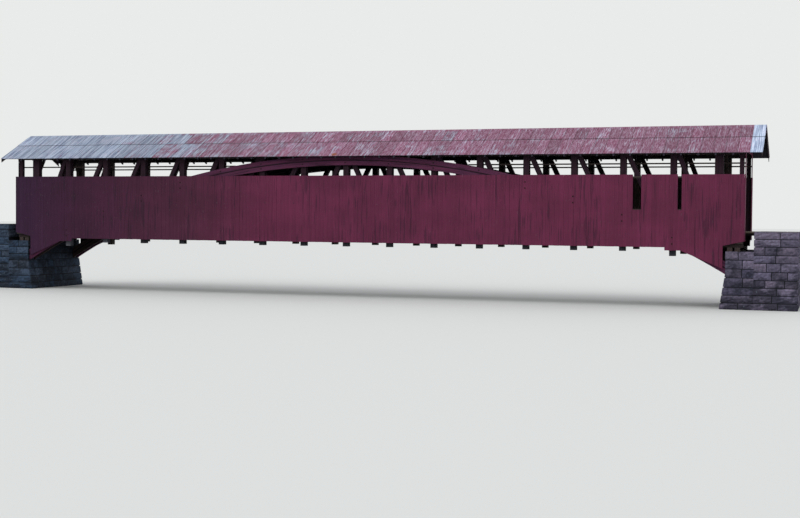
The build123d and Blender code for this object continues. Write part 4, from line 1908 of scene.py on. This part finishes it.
@dataclass
class Abutments(Masonry):
    """Abutments and approaches of both ends.

    Attributes:
        face_x: distance of the faces under the span from the middle.
        approach_x: distance of the approaches from the middle.
        half_width: half the width of both.
        seat: height of the seats.
        blues: tone of each end's side stones, from 0 for blue-grey to 1 for brown; the left end's lower,
            darker tone is partly painted shade.
        front_blue: tone of the stones of the faces under the span.
        plain_blue: tone of the stones of the seats, the outer ends and the copings.
        inner_blue: tone of the stones over the seats.
        approach_browner: how much browner an approach's side stones are.
        core_behind: how far the core lies behind the deepest stone face.
        core_low: height of the core's foot.
        gravel_low: how far the gravel lies under the copings' tops.
        gravel_rough: how uneven the gravel is.
        road_edge: distance of the packed gravel from the sides.
    """

    face_x: float = 11.09
    approach_x: float = 11.84
    half_width: float = 1.48
    seat: float = 1.572
    # The left end's low tone is partly painted shade: its stones are darker as well as bluer.
    blues: Mapping[End, float] = field(default_factory=lambda: {End.LEFT: 0.2, End.RIGHT: 0.6})
    seat_rows: int = 8
    front_blue: float = 0.55
    plain_blue: float = 0.5
    inner_blue: float = 0.6
    approach_browner: float = 0.05
    core_behind: float = 0.007
    core_low: float = 0.001
    gravel_low: float = 0.002
    gravel_rough: float = 0.007
    road_edge: float = 0.23
    road_columns: int = 16
    road_rows: int = 36

    def build(self) -> None:
        """Makes the stones, cores and road surfaces of both ends."""
        for end in End:
            self.abutment(end)
            self.approach(end)

    def planes(self, end: End, start: float, stop: float) -> tuple[Plane3, Plane3]:
        """Near and far side faces of one end's masonry.

        Args:
            end: the end.
            start: distance of one of their sides from the middle.
            stop: distance of the other from the middle.

        Returns:
            The near face and the far one.
        """
        low, high = sorted((end.value * start, end.value * stop))
        near = Plane3(Vector((low, -self.half_width, 0)), X_AXIS, Z_AXIS)
        far = Plane3(Vector((high, self.half_width, 0)), -X_AXIS, Z_AXIS)
        return near, far

    def cross_plane(self, end: End, distance: float, inward: bool) -> Plane3:
        """Upright face across the bridge.

        Args:
            end: the end.
            distance: its distance from the middle.
            inward: whether it faces the middle.

        Returns:
            The face.
        """
        way = end.value if inward else -end.value
        corner = Vector((end.value * distance, way * self.half_width, 0))
        return Plane3(corner, Y_AXIS * -way, Z_AXIS)

    def abutment(self, end: End) -> None:
        """Stones of one abutment's two sides, its face under the span and its seat.

        Args:
            end: the end.
        """
        draw = random.Random(81 + end.value)
        draft = Draft(f"{end.word}_abutment_stones", [self.stones[end], self.joint])
        levels = self.courses(self.seat, draw)
        start, stop = self.face_x, self.approach_x
        feet = (Foot.STOP, Foot.START) if end is End.LEFT else (Foot.START, Foot.STOP)
        for face, foot in zip(self.planes(end, start, stop), feet):
            self.face(draft, face, stop - start, levels, draw, self.blues[end], foot)
        front = self.cross_plane(end, start, inward=True)
        self.face(draft, front, 2 * self.half_width, levels, draw, self.front_blue, Foot.FRONT)
        inner, side = start + self.depth, self.half_width - self.depth
        seat_corner = Vector((min(end.value * inner, end.value * stop), -side, self.seat))
        rows = [2 * side * row / self.seat_rows for row in range(self.seat_rows + 1)]
        self.face(draft, Plane3(seat_corner, X_AXIS, Y_AXIS), stop - inner, rows, draw, self.plain_blue)
        self.core(draft, end, start, stop, self.seat, self.batter)
        draft.finish("rubble_stone", [f"{end.word}_abutment"])

    def approach(self, end: End) -> None:
        """Stones of one approach's sides and outer end, and its gravel road.

        Args:
            end: the end.
        """
        draw = random.Random(91 + end.value)
        draft = Draft(f"{end.word}_approach_stones", [self.stones[end], self.joint, self.gravel])
        low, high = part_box(f"{end.word}_approach")
        outer = max(abs(low[0]), abs(high[0]))
        top = high[2]
        levels = self.courses(top, draw)
        side_blue = self.blues[end] + self.approach_browner
        for face in self.planes(end, self.approach_x, outer):
            self.face(draft, face, outer - self.approach_x, levels, draw, side_blue)
        width = 2 * self.half_width
        outer_face = self.cross_plane(end, outer, inward=False)
        self.face(draft, outer_face, width, levels, draw, self.plain_blue)
        upper = [level for level in levels if level > self.seat - 0.1]
        inner_face = self.cross_plane(end, self.approach_x, inward=True)
        self.face(draft, inner_face, width, upper, draw, self.inner_blue)
        self.road(draft, end, outer, top, draw)
        self.core(draft, end, self.approach_x, outer, top)
        draft.finish("rubble_stone", [f"{end.word}_approach"])

    def core(
        self, draft: Draft, end: End, start: float, stop: float, top: float, batter: float = 0.0
    ) -> None:
        """Adds the mass behind the stones, which shows in their joints, near black with painted shade.

        Args:
            draft: the piece that it goes into.
            end: the end of the bridge.
            start: distance of its inner face from the middle.
            stop: distance of its outer face from the middle.
            top: height of the stones over it.
            batter: how far its foot leans out at the inner face.
        """
        back = self.proud + self.core_behind
        inner, outer = start + back, stop - back
        low, high = self.core_low, top - back
        section = [
            (inner - batter, low), (outer, low), (outer, high), (inner, high), (inner, self.batter_height),
        ]
        outline = [Vector((end.value * x, back - self.half_width, z)) for x, z in section]
        draft.prism(outline, Vector((0, 2 * (self.half_width - back), 0)), tone=0.4, finish=1)

    def road(self, draft: Draft, end: End, outer: float, top: float, draw: random.Random) -> None:
        """Adds coping stones along both sides and uneven gravel between them.

        Args:
            draft: the piece that they go into.
            end: the end of the bridge.
            outer: distance of the approach's outer end from the middle.
            top: height of its top.
            draw: random draws.
        """
        low = min(end.value * outer, end.value * self.approach_x)
        length = outer - self.approach_x
        for start in (self.depth - self.half_width, self.half_width - self.coping):
            plane = Plane3(Vector((low + self.depth, start, top)), X_AXIS, Y_AXIS)
            beds = [0.0, self.coping - self.depth]
            self.face(draft, plane, length - 2 * self.depth, beds, draw, self.plain_blue)
        columns, rows = self.road_columns, self.road_rows
        points = []
        for row in range(rows + 1):
            y = -self.half_width + self.road_edge + 2 * (self.half_width - self.road_edge) * row / rows
            for column in range(columns + 1):
                x = low + length * column / columns
                z = top - self.gravel_low - draw.uniform(0.0, self.gravel_rough)
                points.append(Vector((x, y, z)))
        draft.part(points, grid_faces(columns, rows), finish=2)


@dataclass
class Studio:
    """Pale floor, soft light and the camera, at the photograph's angle."""

    camera_place: tuple[float, float, float] = (14.192, -37.171, 2.388)
    lens: float = 57.83
    yaw: float = math.radians(-19.166)
    pitch: float = math.radians(-1.8)
    roll: float = math.radians(0.4706)
    sky: str = "#eef1f5"
    sky_strength: float = 0.92
    backdrop: str = "#e9ebea"
    floor_colour: str = "#dededb"
    floor_bounce: str = "#6b6f73"
    floor_reach: float = 400.0
    sun_strength: float = 0.9
    sun_width: float = math.radians(50)
    sun_turn: tuple[float, float, float] = (math.radians(42), math.radians(-8), math.radians(-20))

    def build(self) -> None:
        """Sets the view transform and makes the camera, the light and the floor."""
        scene = bpy.context.scene
        scene.view_settings.view_transform = "Standard"
        self.camera(scene)
        self.light(scene)
        self.floor(scene)

    def camera(self, scene: bpy.types.Scene) -> None:
        """Makes the camera, turned by yaw, pitch and roll.

        Args:
            scene: the scene that it goes into.
        """
        level = math.cos(self.pitch)
        forward = Vector((math.sin(self.yaw) * level, math.cos(self.yaw) * level, math.sin(self.pitch)))
        right = Vector((math.cos(self.yaw), -math.sin(self.yaw), 0))
        up = right.cross(forward)
        rolled = right * math.cos(self.roll) + up * math.sin(self.roll)
        risen = up * math.cos(self.roll) - right * math.sin(self.roll)
        axes = Matrix((rolled, risen, -forward)).transposed().to_4x4()
        data = bpy.data.cameras.new("photo_camera")
        data.lens = self.lens
        data.sensor_width = 36.0
        data.clip_end = 2000.0
        camera = bpy.data.objects.new("photo_camera", data)
        camera.matrix_world = Matrix.Translation(self.camera_place) @ axes
        scene.collection.objects.link(camera)
        scene.camera = camera

    @staticmethod
    def mixed(tree: Tree, lit: Node, seen: Node) -> Node:
        """Shows one shader to the eye and lights the object with another.

        Args:
            tree: node tree of the material or world.
            lit: shader for the light that reaches the object.
            seen: shader for rays from the eye, a gloss or a glass.

        Returns:
            Node that gives both.
        """
        path = add(tree, "LightPath").outputs
        rays = add(tree, "Math", {0: path["Is Camera Ray"], 1: path["Is Glossy Ray"]}, operation="MAXIMUM")
        rays = add(tree, "Math", {0: rays, 1: path["Is Transmission Ray"]}, operation="MAXIMUM")
        return add(tree, "MixShader", {0: rays, 1: lit, 2: seen})

    def light(self, scene: bpy.types.Scene) -> None:
        """Makes an overcast sky and a weak, very soft sun from the front left.

        Args:
            scene: the scene that they light.
        """
        world = bpy.data.worlds.new("overcast_sky")
        world.use_nodes = True
        tree = world.node_tree
        tree.nodes.clear()
        sky = add(tree, "Background", {"Color": linear(self.sky), "Strength": self.sky_strength})
        plain = add(tree, "Background", {"Color": linear(self.backdrop), "Strength": 1.0})
        add(tree, "OutputWorld", {"Surface": self.mixed(tree, sky, plain)})
        scene.world = world
        sun = bpy.data.lights.new("soft_sun", "SUN")
        sun.energy = self.sun_strength
        sun.angle = self.sun_width
        lamp = bpy.data.objects.new("soft_sun", sun)
        lamp.rotation_euler = self.sun_turn
        scene.collection.objects.link(lamp)

    def floor(self, scene: bpy.types.Scene) -> None:
        """Makes the floor, pale to the eye and darker in the light that it throws back.

        Args:
            scene: the scene that it goes into.
        """
        mesh = bpy.data.meshes.new("studio_floor")
        reach = self.floor_reach
        corners = [(-reach, -reach, 0), (reach, -reach, 0), (reach, reach, 0), (-reach, reach, 0)]
        mesh.from_pydata(corners, [], [(0, 1, 2, 3)])
        look = bpy.data.materials.new("studio_floor")
        look.use_nodes = True
        tree = look.node_tree
        tree.nodes.clear()
        pale = add(tree, "BsdfDiffuse", {"Color": linear(self.floor_colour)})
        dark = add(tree, "BsdfDiffuse", {"Color": linear(self.floor_bounce)})
        add(tree, "OutputMaterial", {"Surface": self.mixed(tree, dark, pale)})
        mesh.materials.append(look)
        floor = bpy.data.objects.new("studio_floor", mesh)
        scene.collection.objects.link(floor)


def main() -> None:
    for group in (Studio(), TrussTimber(), Abutments(), Deck(), Arches(), Siding(), Portals(), Roof()):
        LOG.info("building %s", type(group).__name__)
        group.build()


if __name__ == "__main__":
    logging.basicConfig(level=logging.INFO, format="%(message)s")
    main()
